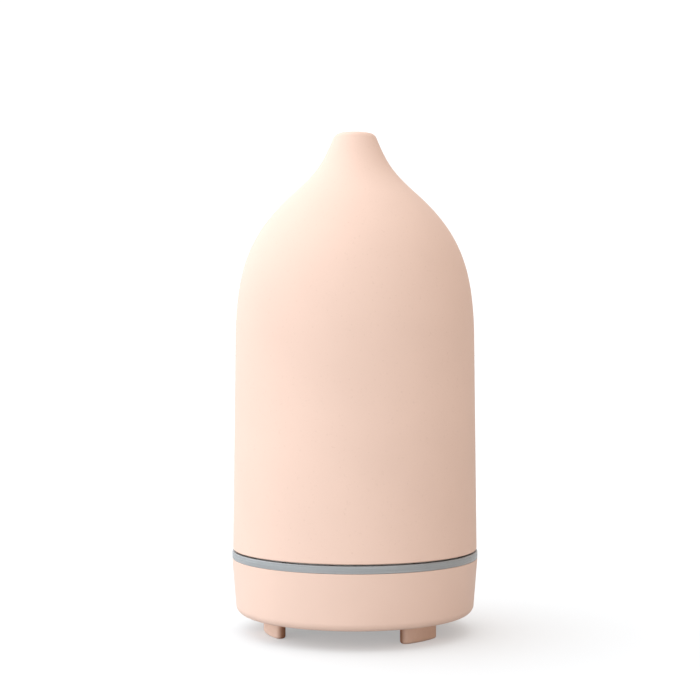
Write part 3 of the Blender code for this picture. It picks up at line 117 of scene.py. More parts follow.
FOOT_CORNER = 1.7 * MM        # rounding of a foot's four corners, seen from above
FOOT_EASE = 0.9 * MM          # rounding of its upper and lower edges
FOOT_SLACK = 0.15 * MM        # clearance of the recess round a foot
FOOT_ANGLES = {"foot_left": 212.0, "foot_right": 328.0, "foot_rear": 90.0}

# --- Screws, buttons and socket, as in the CAD ----------------------------------------
SHANK_RADIUS = 0.8 * MM
HEAD_RADIUS = 1.7 * MM
HEAD_HEIGHT = 1.3 * MM
SCREW_SINK = 1.7 * MM
BOSS_RADIUS = 2.3 * MM
# A pan head from its underside outwards: radius, height.
HEAD_SHAPE = ((HEAD_RADIUS - 0.15 * MM, 0.0), (HEAD_RADIUS, -0.15 * MM),
              (HEAD_RADIUS, -0.5 * MM), (HEAD_RADIUS * 0.93, -0.85 * MM),
              (HEAD_RADIUS * 0.75, -1.1 * MM), (HEAD_RADIUS * 0.5, -1.24 * MM),
              (HEAD_RADIUS * 0.22, -HEAD_HEIGHT))
SCREW_TURN = 0.7              # each screw of a family is turned by this more, in radians
THREAD_PITCH = 0.55 * MM
THREAD_DEPTH = 0.16 * MM
BUTTON_RADIUS = 3.5 * MM
BUTTON_PROUD = 0.35 * MM
BUTTON_Z = 18.5 * MM
BUTTON_EASE = 0.45 * MM
# The dish in a button's face: share of its radius, depth in mm.
BUTTON_DISH = ((0.0, 0.22), (0.3, 0.20), (0.55, 0.13), (0.75, 0.05), (0.83, 0.0))
FLANGE_DEPTH = 1.3 * MM
SWITCH_WELL = 1.75 * MM       # radius of the round window in a switch
JACK_NOSE_RADIUS = 3.9 * MM
JACK_BORE = 2.8 * MM

# --- Tank, duct, lid and mist disc, as in the CAD -------------------------------------
TANK_RADIUS = 36.0 * MM
TANK_WALL = 2.2 * MM
TANK_FLANGE = 2.6 * MM
TANK_EDGE = 1.1 * MM
RIB_SLIP = 0.5 * MM
RIB_THICKNESS = 1.3 * MM
RIB_HEIGHT = 5.8 * MM
FLOOR_THICKNESS = 2.5 * MM
FLOOR_FALL = 2.0 * MM
WINDOW_RADIUS = 8.5 * MM
FILL_LINE_DROP = 14.0 * MM    # a plain bead inside the tank, below its rim
DUCT_RADIUS = 5.5 * MM
DUCT_WALL = 1.5 * MM
LID_WALL = 1.5 * MM
LID_EDGE_HEIGHT = 1.7 * MM
LID_DOME = 28.0 * MM
SPOUT_RADIUS = 7.5 * MM
RETAINER_BORE = 7.5 * MM

# --- Fan, boards and leads ------------------------------------------------------------
FAN_BORE = 13.6 * MM
FAN_FLARE = 0.9 * MM          # how far the bore widens at both faces
FAN_HOLE_INSET = 3.0 * MM
STRUT_ANGLES = (60, 180, 300)
HUB_RADIUS = 7.5 * MM
BLADE_COUNT = 7
BLADE_ROWS = 6                # sections from a blade's root to its tip
BLADE_CHORD = 8               # steps along each side of a section
CHIP_LEGS = 4                 # on each side of the controller chip
LED_BOARD_WIDTH = 5.9 * MM
LED_HALF = 1.5 * MM
LEAD_SPLIT = 1.1 * MM         # half the distance between a connector's two wires
LEAD_RADIUS = 0.4 * MM


# ======================================================================================
# Geometry helpers
# ======================================================================================
def smoothed(mesh, sharp=SHARP):
    """Shade a mesh smooth, with its edges above an angle in degrees kept sharp."""
    mesh.shade_smooth()
    mesh.set_sharp_from_angle(angle=math.radians(sharp))
    return mesh


def as_object(bm, name, sharp=SHARP):
    """Turn a bmesh into a smooth-shaded object in the scene."""
    mesh = bpy.data.meshes.new(name)
    bm.to_mesh(mesh)
    bm.free()
    piece = bpy.data.objects.new(name, smoothed(mesh, sharp))
    bpy.context.scene.collection.objects.link(piece)
    return piece


def finish_mesh(bm, name, sharp=SHARP):
    """Weld a bmesh, point its faces outwards and make it an object."""
    bmesh.ops.remove_doubles(bm, verts=bm.verts, dist=WELD)
    bmesh.ops.recalc_face_normals(bm, faces=bm.faces)
    return as_object(bm, name, sharp)


def bridge(bm, loops, capped=True):
    """Join loops of vertices, each to the next, and close both ends if capped."""
    for here, there in zip(loops, loops[1:]):
        for index, corner in enumerate(here):
            after = (index + 1) % len(here)
            bm.faces.new((corner, here[after], there[after], there[index]))
    if capped:
        bm.faces.new(loops[0])
        bm.faces.new(loops[-1])


def rounded(corners, steps=5):
    """A closed outline from (radius, height, ease) corners, each rounded by an arc.

    ease is how far from the corner the rounding starts along both its sides.
    """
    outline = []
    count = len(corners)
    for index, (across, up, ease) in enumerate(corners):
        corner = Vector((across, up))
        before = Vector(corners[index - 1][:2]) - corner
        after = Vector(corners[(index + 1) % count][:2]) - corner
        if ease <= 0:
            outline.append((across, up))
            continue
        reach = min(ease, before.length * 0.499, after.length * 0.499)
        start = corner + before.normalized() * reach
        end = corner + after.normalized() * reach
        half = before.angle(after) / 2
        middle = (before.normalized() + after.normalized()).normalized()
        centre = corner + middle * reach / math.cos(half)
        first = start - centre
        turn = first.angle_signed(end - centre)
        for step in range(steps + 1):
            spoke = first.copy()
            spoke.rotate(Matrix.Rotation(-turn * step / steps, 2))
            outline.append(tuple(centre + spoke))
    return outline


def lathe(name, outline, sides=FINE, sharp=SHARP, centre=(0.0, 0.0)):
    """A closed outline of (radius, height) points turned about an upright axis."""
    bm = bmesh.new()
    rings = []
    for side in range(sides):
        angle = math.tau * side / sides
        rings.append([
            bm.verts.new((centre[0] + radius * math.cos(angle),
                          centre[1] + radius * math.sin(angle), height))
            for radius, height in outline
        ])
    count = len(outline)
    for side in range(sides):
        here = rings[side]
        there = rings[(side + 1) % sides]
        for index in range(count):
            after = (index + 1) % count
            if outline[index][0] < SLIVER and outline[after][0] < SLIVER:
                continue
            bm.faces.new((here[index], there[index], there[after], here[after]))
    bmesh.ops.dissolve_degenerate(bm, dist=SLIVER, edges=bm.edges)
    return finish_mesh(bm, name, sharp)


def bezier(start, start_lean, end, end_lean, reach, steps):
    """(point, lean) pairs on a cubic curve that leans in from the vertical at its ends."""
    handles = (
        start,
        (start[0] - reach[0] * math.sin(start_lean), start[1] + reach[0] * math.cos(start_lean)),
        (end[0] + reach[1] * math.sin(end_lean), end[1] - reach[1] * math.cos(end_lean)),
        end,
    )
    result = []
    for step in range(steps + 1):
        t = step / steps
        weights = ((1 - t) ** 3, 3 * (1 - t) ** 2 * t, 3 * (1 - t) * t * t, t ** 3)
        slopes = (-3 * (1 - t) ** 2, 3 * (1 - t) * (1 - 3 * t), 3 * t * (2 - 3 * t), 3 * t * t)
        point = tuple(sum(w * h[k] for w, h in zip(weights, handles)) for k in (0, 1))
        slope = tuple(sum(s * h[k] for s, h in zip(slopes, handles)) for k in (0, 1))
        result.append((point, math.atan2(-slope[0], slope[1])))
    return result


def arc(centre_r, centre_z, radius, start, end, steps):
    """Points on an arc in the turning plane, angles in degrees from the +R direction."""
    points = []
    for step in range(steps + 1):
        angle = math.radians(start + (end - start) * step / steps)
        points.append((centre_r + radius * math.cos(angle),
                       centre_z + radius * math.sin(angle)))
    return points


def polar(radius, degrees):
    """X and Y of a point at a radius and an angle from +X."""
    angle = math.radians(degrees)
    return radius * math.cos(angle), radius * math.sin(angle)


def wall_radius(height, inset=0.0):
    """Radius of the base's tapered wall at a height."""
    share = (height - BASE_BOTTOM - BASE_FILLET) / (BASE_TOP - BASE_BOTTOM - BASE_FILLET)
    return BODY_RADIUS - BASE_TAPER * (1 - share) - inset


def peg(high, low, radius, high_ease=0.0, low_ease=0.0, steps=5):
    """Outline of a solid round peg with rounded rims; the eases are in millimetres."""
    return rounded([(0, high, 0), (radius, high, high_ease * MM),
                    (radius, low, low_ease * MM), (0, low, 0)], steps)


def rear_turned(name, outline, x, z, sides=SMALL):
    """A closed (radius, distance) outline turned about a line that runs to the rear."""
    piece = lathe(name, outline, sides)
    piece.data.transform(Matrix.Translation((x, 0, z)) @ Matrix.Rotation(-math.pi / 2, 4, "X"))
    return piece


def boolean(piece, tools, operation="DIFFERENCE"):
    """Cut or join the tools, leave a plain mesh and remove the tools."""
    for tool in tools:
        step = piece.modifiers.new(tool.name, "BOOLEAN")
        step.operation = operation
        step.solver = "EXACT"
        step.object = tool
    bake(piece)
    for tool in tools:
        bpy.data.objects.remove(tool)


def bake(piece):
    """Apply every modifier of a piece to its mesh."""
    bpy.context.view_layer.update()
    view = bpy.context.evaluated_depsgraph_get()
    mesh = bpy.data.meshes.new_from_object(piece.evaluated_get(view))
    mesh.name = piece.name
    piece.modifiers.clear()
    piece.data = smoothed(mesh)


def block(name, low, high, ease=0.2 * MM, steps=2):
    """A box between two corners with rounded edges."""
    low = Vector(low)
    high = Vector(high)
    bm = bmesh.new()
    fitted = Matrix.Translation((low + high) / 2) @ Matrix.Diagonal((*(high - low), 1.0))
    bmesh.ops.create_cube(bm, size=1.0, matrix=fitted)
    if ease > 0:
        bmesh.ops.bevel(bm, geom=bm.edges, offset=ease, segments=steps, profile=0.5,
                        affect="EDGES")
    return finish_mesh(bm, name)


def prism(name, outline, low, high, ease=0.0, steps=3):
    """A flat (x, y) outline given a height, with its upper and lower edges rounded."""
    bm = bmesh.new()
    lower = [bm.verts.new((x, y, low)) for x, y in outline]
    face = bm.faces.new(lower)
    raised = bmesh.ops.extrude_face_region(bm, geom=[face])
    upper = [item for item in raised["geom"] if isinstance(item, bmesh.types.BMVert)]
    bmesh.ops.translate(bm, verts=upper, vec=(0, 0, high - low))
    bmesh.ops.recalc_face_normals(bm, faces=bm.faces)
    if ease > 0:
        flat = [f for f in bm.faces if abs(f.normal.z) > 0.99]
        rims = list({edge for f in flat for edge in f.edges})
        bmesh.ops.bevel(bm, geom=rims, offset=ease, segments=steps, profile=0.5,
                        affect="EDGES")
    return finish_mesh(bm, name)


def joined(name, pieces):
    """One object from several, each keeping its own closed surface."""
    bm = bmesh.new()
    for piece in pieces:
        bm.from_mesh(piece.data)
        bpy.data.objects.remove(piece)
    return as_object(bm, name)


def turned_about(piece, spot, angle):
    """Turn a piece made round the origin by an angle and move it to a spot."""
    piece.data.transform(Matrix.Translation((spot[0], spot[1], 0))
                         @ Matrix.Rotation(angle, 4, "Z"))
    return piece


def place(piece, finish, slot, *nodes, body="base"):
    """Give a piece its material, body and the CAD nodes it stands for; slot is not used."""
    piece.data.materials.clear()
    piece.data.materials.append(finish)
    even = piece.modifiers.new("even_shading", "WEIGHTED_NORMAL")
    even.keep_sharp = True
    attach(piece, body)
    if nodes:
        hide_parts(*nodes)


# ======================================================================================
# Materials
# ======================================================================================
class Finish:
    """A small helper that wires procedural nodes into one Principled material."""

    def __init__(self, name, roughness, metallic=0.0, specular=0.5):
        self.material = bpy.data.materials.new(name)
        self.material.use_nodes = True
        self.tree = self.material.node_tree
        self.shader = self.tree.nodes["Principled BSDF"]
        self.shader.inputs["Roughness"].default_value = roughness
        self.shader.inputs["Metallic"].default_value = metallic
        self.shader.inputs["Specular IOR Level"].default_value = specular
        self.place = self.tree.nodes.new("ShaderNodeTexCoord").outputs["Object"]

    def node(self, kind, sockets=(), **settings):
        """A new node, with its settings and the values of its named sockets."""
        made = self.tree.nodes.new(kind)
        for key, value in settings.items():
            setattr(made, key, value)
        for key, value in dict(sockets).items():
            made.inputs[key].default_value = value
        return made

    def link(self, source, target):
        self.tree.links.new(source, target)

    def stretched(self, scale):
        """Position scaled unevenly, for streaks and brushed grain."""
        mapping = self.node("ShaderNodeMapping", {"Scale": scale})
        self.link(self.place, mapping.inputs["Vector"])
        return mapping.outputs["Vector"]

    def noise(self, size, detail=3.0, roughness=0.5, vector=None):
        """Noise whose features are about one size across, in metres."""
        made = self.node("ShaderNodeTexNoise",
                         {"Scale": 1.0 / size, "Detail": detail, "Roughness": roughness})
        self.link(vector or self.place, made.inputs["Vector"])
        return made.outputs["Fac"]

    def cells(self, feature, scale, randomness, along):
        """Distances in a cell pattern: to the cells' edges, or to their middles with F1."""
        made = self.node("ShaderNodeTexVoronoi", feature=feature)
        made.inputs["Scale"].default_value = scale
        made.inputs["Randomness"].default_value = randomness
        self.link(self.stretched(along), made.inputs["Vector"])
        return made.outputs["Distance"]

    def reach(self):
        """Distance from the object's upright axis."""
        length = self.node("ShaderNodeVectorMath", operation="LENGTH")
        self.link(self.stretched((1, 1, 0)), length.inputs[0])
        return length.outputs["Value"]

    def ramp(self, source, stops):
        """Map a value to colours at the given positions."""
        made = self.node("ShaderNodeValToRGB")
        ramp = made.color_ramp
        while len(ramp.elements) < len(stops):
            ramp.elements.new(0.5)
        for element, (position, colour) in zip(ramp.elements, stops):
            element.position = position
            element.color = (*colour, 1.0)
        self.link(source, made.inputs["Fac"])
        return made.outputs["Color"]

    def between(self, source, start, end, low=0.0, high=1.0):
        """Map the range from start to end to the range from low to high."""
        made = self.node("ShaderNodeMapRange", {"From Min": start, "From Max": end,
                                                "To Min": low, "To Max": high})
        self.link(source, made.inputs["Value"])
        return made.outputs["Result"]

    def spread(self, source, low, high):
        """Map a noise value, which keeps near one half, to a range."""
        return self.between(source, 0.3, 0.7, low, high)

    def facing(self, axis):
        """White where the surface is square to an axis, black on the sides."""
        normal = self.node("ShaderNodeTexCoord").outputs["Normal"]
        share = self.node("ShaderNodeVectorMath", operation="DOT_PRODUCT")
        share.inputs[1].default_value = axis
        self.link(normal, share.inputs[0])
        size = self.node("ShaderNodeMath", operation="ABSOLUTE")
        self.link(share.outputs["Value"], size.inputs[0])
        return self.ramp(size.outputs["Value"], [(0.6, (0, 0, 0)), (0.75, (1, 1, 1))])

    def mix(self, factor, first, second, mode="MIX"):
        """Mix two colours or colour outputs by a value."""
        made = self.node("ShaderNodeMix", data_type="RGBA", blend_type=mode)
        for slot, value in ((made.inputs[0], factor), (made.inputs[6], first),
                            (made.inputs[7], second)):
            if isinstance(value, bpy.types.NodeSocket):
                self.link(value, slot)
            elif isinstance(value, tuple):
                slot.default_value = (*value, 1.0)
            else:
                slot.default_value = value
        return made.outputs[2]

    def colour(self, source):
        self.link(source, self.shader.inputs["Base Color"])

    def roughness(self, source):
        self.link(source, self.shader.inputs["Roughness"])

    def bump(self, heights):
        """Stack bumps, each a (source, depth in metres) pair."""
        normal = None
        for source, depth in heights:
            made = self.node("ShaderNodeBump", {"Strength": 1.0, "Distance": depth})
            self.link(source, made.inputs["Height"])
            if normal:
                self.link(normal, made.inputs["Normal"])
            normal = made.outputs["Normal"]
        self.link(normal, self.shader.inputs["Normal"])


def tinted(colour, share):
    """A colour made lighter or darker by a share."""
    return tuple(min(1.0, max(0.0, channel * share)) for channel in colour)


def fade(dark, light, low=0.3):
    """Ramp stops from dark to light over the middle of a noise."""
    return [(low, dark), (1 - low, light)]


PEACH = (0.825, 0.585, 0.477)
WEAVE = fade((0.9, 0.9, 0.9), (1.0, 1.0, 1.0))


def peach(dark, light, low=0.3):
    """Ramp stops between two shares of the peach colour."""
    return fade(tinted(PEACH, dark), tinted(PEACH, light), low)


def grained(name, roughness, specular, noises, tone, gloss, relief, sockets=()):
    """A finish made of noises: one gives the tone, one the gloss, and some the relief.

    noises holds (size in mm, detail, roughness) or, for streaks, (1000, detail, roughness,
    stretch). tone is (noise, ramp stops), gloss is (noise, low, high), relief is (noise, depth
    in mm) pairs, and sockets is (name, value) pairs for the shader.
    """
    made = Finish(name, roughness, specular=specular)
    sources = {}
    for key, (size, detail, rough, *stretch) in noises.items():
        vector = made.stretched(stretch[0]) if stretch else None
        sources[key] = made.noise(size * MM, detail, rough, vector)
    made.colour(made.ramp(sources[tone[0]], tone[1]))
    made.roughness(made.spread(sources[gloss[0]], *gloss[1:]))
    made.bump([(sources[key], depth * MM) for key, depth in relief])
    for socket, value in sockets:
        made.shader.inputs[socket].default_value = value
    return made.material


def pale_plastic(name, colour, roughness, scatter):
    """White or ivory moulded plastic with flow clouds and a fine grain."""
    return grained(
        name, roughness, 0.45,
        {"flow": (14, 3, 0.5), "grain": (0.3, 2, 0.5), "rings": (1000, 2, 0.5, (8, 8, 1400))},
        ("flow", fade(tinted(colour, 0.965), colour)),
        ("flow", roughness - 0.06, roughness + 0.06), [("rings", 0.006), ("grain", 0.006)],
        [("Subsurface Weight", scatter), ("Subsurface Radius", (0.003, 0.003, 0.0025))])


def insulation(name, colour):
    """Soft wire insulation, glossy in places, with faint drawn lines."""
    return grained(
        name, 0.4, 0.45, {"marks": (0.9, 3, 0.6), "fine": (0.15, 2, 0.5)},
        ("marks", fade(tinted(colour, 0.8), tinted(colour, 1.1))),
        ("marks", 0.32, 0.5), [("fine", 0.006)])


def metal(name, dark, light, roughness, streaks, depth=0.004 * MM):
    """Metal whose colour and roughness vary along drawn or cast marks."""
    made = Finish(name, roughness, metallic=1.0)
    marks = made.noise(1.0, 3, 0.6, made.stretched(streaks))
    blooms = made.noise(1.6 * MM, 3, 0.6)
    tone = made.ramp(blooms, fade(dark, light))
    shade = made.ramp(marks, fade((0.88, 0.88, 0.88), (1.0, 1.0, 1.0)))
    made.colour(made.mix(1.0, tone, shade, "MULTIPLY"))
    made.roughness(made.spread(marks, roughness - 0.08, roughness + 0.1))
    made.bump([(marks, depth)])
    return made.material


# Each finish by name: the function that makes it and what that function needs.
LOOKS = {
    # Matte peach plastic with a fine spark-eroded texture.
    "peach_plastic": (grained, 0.5, 0.4, {"grain": (0.25, 2, 0.55), "clouds": (25, 2, 0.5)},
                      ("clouds", peach(0.985, 1.01, 0.35)), ("grain", 0.44, 0.58),
                      [("grain", 0.010)]),
    # Frosted grey light ring with fine streaks that run round it.
    "frosted_plastic": (grained, 0.35, 0.8,
                        {"streaks": (1000, 3, 0.6, (25, 25, 5200)),
                         "fine": (1000, 2, 0.5, (160, 160, 9000))},
                        ("streaks", [(0.3, (0.245, 0.250, 0.252)), (0.5, (0.320, 0.327, 0.330)),
                                     (0.7, (0.41, 0.416, 0.418))]),
                        ("fine", 0.24, 0.42), [("streaks", 0.02), ("fine", 0.008)],
                        [("Subsurface Weight", 0.15),
                         ("Subsurface Radius", (0.002, 0.002, 0.002))]),
    # Peach plastic of the bottom plate, plainer and a little duller than the shell.
    "peach_plate": (grained, 0.55, 0.4,
                    {"grain": (0.35, 2, 0.5), "flow": (1000, 2, 0.5, (30, 90, 30))},
                    ("flow", peach(0.95, 0.99)), ("grain", 0.48, 0.62),
                    [("flow", 0.02), ("grain", 0.012)]),
    # Peach plastic of the push buttons, smoother where fingers polish it.
    "peach_button": (grained, 0.4, 0.45, {"grain": (0.2, 2, 0.5), "wear": (1.8, 3, 0.6)},
                     ("wear", peach(0.97, 1.01)), ("wear", 0.32, 0.48), [("grain", 0.006)]),
    # White polypropylene of the tank, the cooler and smoother lid, and ivory nylon.
    "white_plastic": (pale_plastic, (0.70, 0.695, 0.675), 0.38, 0.2),
    "lid_plastic": (pale_plastic, (0.66, 0.665, 0.66), 0.32, 0.0),
    "ivory_plastic": (pale_plastic, (0.76, 0.73, 0.64), 0.42, 0.1),
    # Black moulded plastic, matte, with a few pale scuffs.
    "black_plastic": (grained, 0.45, 0.45,
                      {"grain": (0.22, 3, 0.6), "scuffs": (1000, 4, 0.65, (300, 900, 300))},
                      ("scuffs", [(0.55, (0.020, 0.020, 0.021)), (0.75, (0.045, 0.045, 0.046))]),
                      ("scuffs", 0.38, 0.52), [("grain", 0.012)]),
    # Grey silicone with dust in its grain.
    "grey_silicone": (grained, 0.7, 0.3, {"dust": (2.5, 3, 0.6), "grain": (0.25, 2, 0.6)},
                      ("dust", fade((0.30, 0.30, 0.295), (0.40, 0.40, 0.39))),
                      ("dust", 0.6, 0.8), [("grain", 0.01)]),
    # Zinc-plated steel of the screws and the small metal parts.
    "zinc_steel": (metal, (0.52, 0.52, 0.50), (0.66, 0.66, 0.65), 0.3, (2500, 2500, 900)),
    # Drawn aluminium of the heat sink and the capacitor's top.
    "drawn_aluminium": (metal, (0.60, 0.61, 0.62), (0.72, 0.725, 0.73), 0.34,
                        (3500, 3500, 350)),
    # Enamelled copper wire, wound in even turns.
    "enamelled_copper": (metal, (0.52, 0.20, 0.08), (0.66, 0.27, 0.11), 0.3, (500, 500, 6000)),
    # Dark sintered ferrite with open grain.
    "ferrite": (grained, 0.65, 0.4, {"grain": (0.18, 4, 0.7), "pits": (0.6, 2, 0.5)},
                ("grain", fade((0.035, 0.035, 0.037), (0.085, 0.085, 0.088))),
                ("grain", 0.55, 0.75), [("pits", 0.03), ("grain", 0.02)]),
    # Yellow phosphor under clear resin.
    "led_resin": (grained, 0.3, 0.5, {"grain": (0.12, 3, 0.6)},
                  ("grain", fade((0.74, 0.60, 0.13), (0.86, 0.74, 0.22))),
                  ("grain", 0.25, 0.4), [("grain", 0.008)], [("Coat Weight", 0.6)]),
    "wire_red": (insulation, (0.55, 0.03, 0.02)),
    "wire_black": (insulation, (0.03, 0.03, 0.032)),
}


@cache
def look(name):
    """The finish of that name from the table, made once."""
    maker, *settings = LOOKS[name]
    return maker(name, *settings)


@cache
def ceramic_finish():
    """Unglazed peach ceramic: soft clouds, fine grain and faint turning marks."""
    made = Finish("peach_ceramic", 0.62, specular=0.35)
    clouds = made.noise(38 * MM, 3)
    grain = made.noise(0.35 * MM, 3, 0.6)
    specks = made.noise(0.9 * MM, 2, 0.5)
    turning = made.noise(1.0, 2, 0.5, made.stretched((6, 6, 900)))
    tone = made.ramp(clouds, peach(0.982, 1.014, 0.35))
    speckled = made.ramp(specks, [(0.27, (0.955, 0.945, 0.935)), (0.36, (1, 1, 1))])
    made.colour(made.mix(1.0, tone, speckled, "MULTIPLY"))
    made.roughness(made.spread(grain, 0.56, 0.70))
    made.bump([(turning, 0.012 * MM), (specks, 0.010 * MM), (grain, 0.014 * MM)])
    return made.material


@cache
def foot_finish():
    """Soft rubber, dusty peach on its outer face, with painted shade turning it browner towards its
    inner side.
    """
    made = Finish("foot_rubber", 0.75, specular=0.3)
    grain = made.noise(0.4 * MM, 3, 0.6)
    dust = made.noise(4 * MM, 3, 0.6)
    # Painted shade: the colour fades to dark brown towards the foot's inner side, where its end
    # faces lie in shadow under the base.
    painted_shade_fade = made.between(made.reach(), FOOT_RADIUS - 1.6 * MM, FOOT_RADIUS - 0.1 * MM)
    face = made.ramp(dust, fade((0.86, 0.59, 0.46), (0.93, 0.66, 0.53)))
    made.colour(made.mix(painted_shade_fade, (0.48, 0.24, 0.15), face))
    made.roughness(made.spread(dust, 0.68, 0.85))
    made.bump([(grain, 0.02 * MM)])
    return made.material


@cache
def electrode_finish():
    """Nickel face of the mist disc, polished in rings about its middle."""
    made = Finish("nickel_disc", 0.28, metallic=1.0)
    spread = made.node("ShaderNodeCombineXYZ")
    made.link(made.reach(), spread.inputs["X"])
    rings = made.noise(0.09 * MM, 2, 0.6, spread.outputs["Vector"])
    stains = made.noise(2.5 * MM, 3, 0.6)
    tone = made.ramp(stains, fade((0.55, 0.53, 0.48), (0.68, 0.67, 0.63)))
    shade = made.ramp(rings, fade((0.86, 0.86, 0.86), (1.0, 1.0, 1.0)))
    made.colour(made.mix(1.0, tone, shade, "MULTIPLY"))
    made.roughness(made.spread(stains, 0.2, 0.36))
    made.bump([(rings, 0.003 * MM)])
    return made.material


@cache
def board_finish(name, along, across):
    """Green solder mask over copper tracks, with tinned dots where layers meet.

    along spans the board's faces and across is square to them; the cut edges stay bare.
    """
    made = Finish(name, 0.35, specular=0.5)
    tracks = made.cells("DISTANCE_TO_EDGE", 420, 0.35, along)
    dots = made.cells("F1", 260, 1.0, along)
    cloth = made.noise(1.0, 2, 0.5, made.stretched((2500, 2500, 200)))
    green = made.ramp(tracks, [(0.05, (0.030, 0.215, 0.085)), (0.09, (0.012, 0.115, 0.045))])
    mask = made.mix(1.0, green, made.ramp(cloth, WEAVE), "MULTIPLY")
    dot = made.ramp(dots, [(0.10, (1.0, 1.0, 1.0)), (0.13, (0.0, 0.0, 0.0))])
    face = made.mix(dot, mask, (0.55, 0.55, 0.50))
    made.colour(made.mix(made.facing(across), (0.30, 0.27, 0.13), face))
    made.roughness(made.spread(cloth, 0.28, 0.42))
    made.bump([(tracks, 0.02 * MM)])
    return made.material


@cache
def white_board_finish():
    """White solder mask, the tracks just showing through."""
    made = Finish("white_mask", 0.35, specular=0.5)
    tracks = made.cells("DISTANCE_TO_EDGE", 260, 0.3, (1, 1, 0))
    haze = made.noise(3 * MM, 3, 0.5)
    tone = made.ramp(tracks, [(0.05, (0.70, 0.70, 0.66)), (0.1, (0.78, 0.78, 0.75))])
    shade = made.ramp(haze, fade((0.95, 0.95, 0.94), (1.0, 1.0, 1.0)))
    face = made.mix(1.0, tone, shade, "MULTIPLY")
    made.colour(made.mix(made.facing((0, 0, 1)), (0.50, 0.48, 0.36), face))
    made.roughness(made.spread(haze, 0.3, 0.42))
    made.bump([(tracks, 0.015 * MM)])
    return made.material


@cache
def sleeve_finish(stripe_from):
    """Dark blue shrink sleeve with one pale stripe, glossy and slightly wrinkled."""
    made = Finish("shrink_sleeve", 0.28, specular=0.5)
    wrinkles = made.noise(1.0, 2, 0.5, made.stretched((350, 350, 60)))
    axes = made.node("ShaderNodeSeparateXYZ")
    made.link(made.place, axes.inputs[0])
    stripe = made.between(axes.outputs["X"], stripe_from, stripe_from + 0.05 * MM)
    blue = made.ramp(wrinkles, fade((0.014, 0.020, 0.055), (0.020, 0.028, 0.070)))
    made.colour(made.mix(stripe, blue, (0.42, 0.43, 0.46)))
    made.roughness(made.spread(wrinkles, 0.22, 0.34))
    made.bump([(wrinkles, 0.02 * MM)])
    return made.material


# ======================================================================================
# Outside pieces
# ======================================================================================
def cover_outline(steps):
    """Outline of the stone cover, down its outer side and up its inner side."""
    skirt_top = (COVER_RADIUS - SKIRT_TAPER, SKIRT_HEIGHT)
    neck = (NECK_RADIUS, SKIRT_HEIGHT + DOME_HEIGHT)
    lip = (LIP_RADIUS, SKIRT_HEIGHT + DOME_HEIGHT + NECK_HEIGHT)
    dome = bezier(skirt_top, SKIRT_LEAN, neck, NECK_LEAN, DOME_REACH, steps)
    throat = bezier(neck, NECK_LEAN, lip, LIP_LEAN, NECK_REACH, steps // 2)
    curve = dome + throat[1:]
    crest = COVER_TOP - COVER_BOTTOM
    rise = crest - lip[1]
    turn = 2 * math.degrees(math.atan2(rise, LIP_RADIUS - CREST_RADIUS))
    crest_round = (LIP_RADIUS - CREST_RADIUS) / math.sin(math.radians(turn))
    mouth_round = CREST_RADIUS - MOUTH_RADIUS
    outer_lip = arc(CREST_RADIUS, crest - crest_round, crest_round, 90, 90 - turn, 8)
    inner_lip = arc(CREST_RADIUS, crest - mouth_round, mouth_round, 180, 90, 6)
    outside = [point for point, lean in reversed(curve)]
    inside = [
        (point[0] - COVER_WALL * math.cos(lean), point[1] - COVER_WALL * math.sin(lean))
        for point, lean in curve
    ]
    foot = arc(COVER_RADIUS - COVER_EASE, COVER_EASE, COVER_EASE, 0, -90, 6)
    inner_foot = arc(COVER_RADIUS - COVER_WALL + COVER_EASE, COVER_EASE, COVER_EASE, 270, 180, 4)
    skirt = [
        (COVER_RADIUS - SKIRT_TAPER * share, SKIRT_HEIGHT * share)
        for share in (0.75, 0.5, 0.25)
    ]
    points = (outer_lip[:-1] + outside + skirt + foot + inner_foot + inside[:-1]
              + [(MOUTH_RADIUS, inside[-1][1])] + inner_lip[:-1])
    return [(radius, COVER_BOTTOM + height) for radius, height in points]


def make_cover():
    """The tall bottle-shaped ceramic shell."""
    cover = lathe("cover_shell", cover_outline(28))
    place(cover, ceramic_finish(), "peach_stone", "stone_cover", body="cover")


def make_ring():
    """Frosted ring, its visible edges a little rounded."""
    inside = BODY_RADIUS - RING_DEPTH
    lip = inside - RING_LIP_WIDTH
    low = BASE_TOP + GAP
    outline = rounded([
        (BODY_RADIUS, RING_TOP, 0.35 * MM),
        (BODY_RADIUS, low, 0.2 * MM),
        (lip, low, 0.1 * MM),
        (lip, RING_LOW.z + RING_LIP_HEIGHT, 0.1 * MM),
        (inside, RING_LOW.z + RING_LIP_HEIGHT, 0.1 * MM),
        (inside, RING_TOP, 0.3 * MM),
    ], 3)
    ring = lathe("light_band", outline)
    place(ring, look("frosted_plastic"), "frosted_plastic", "light_ring")


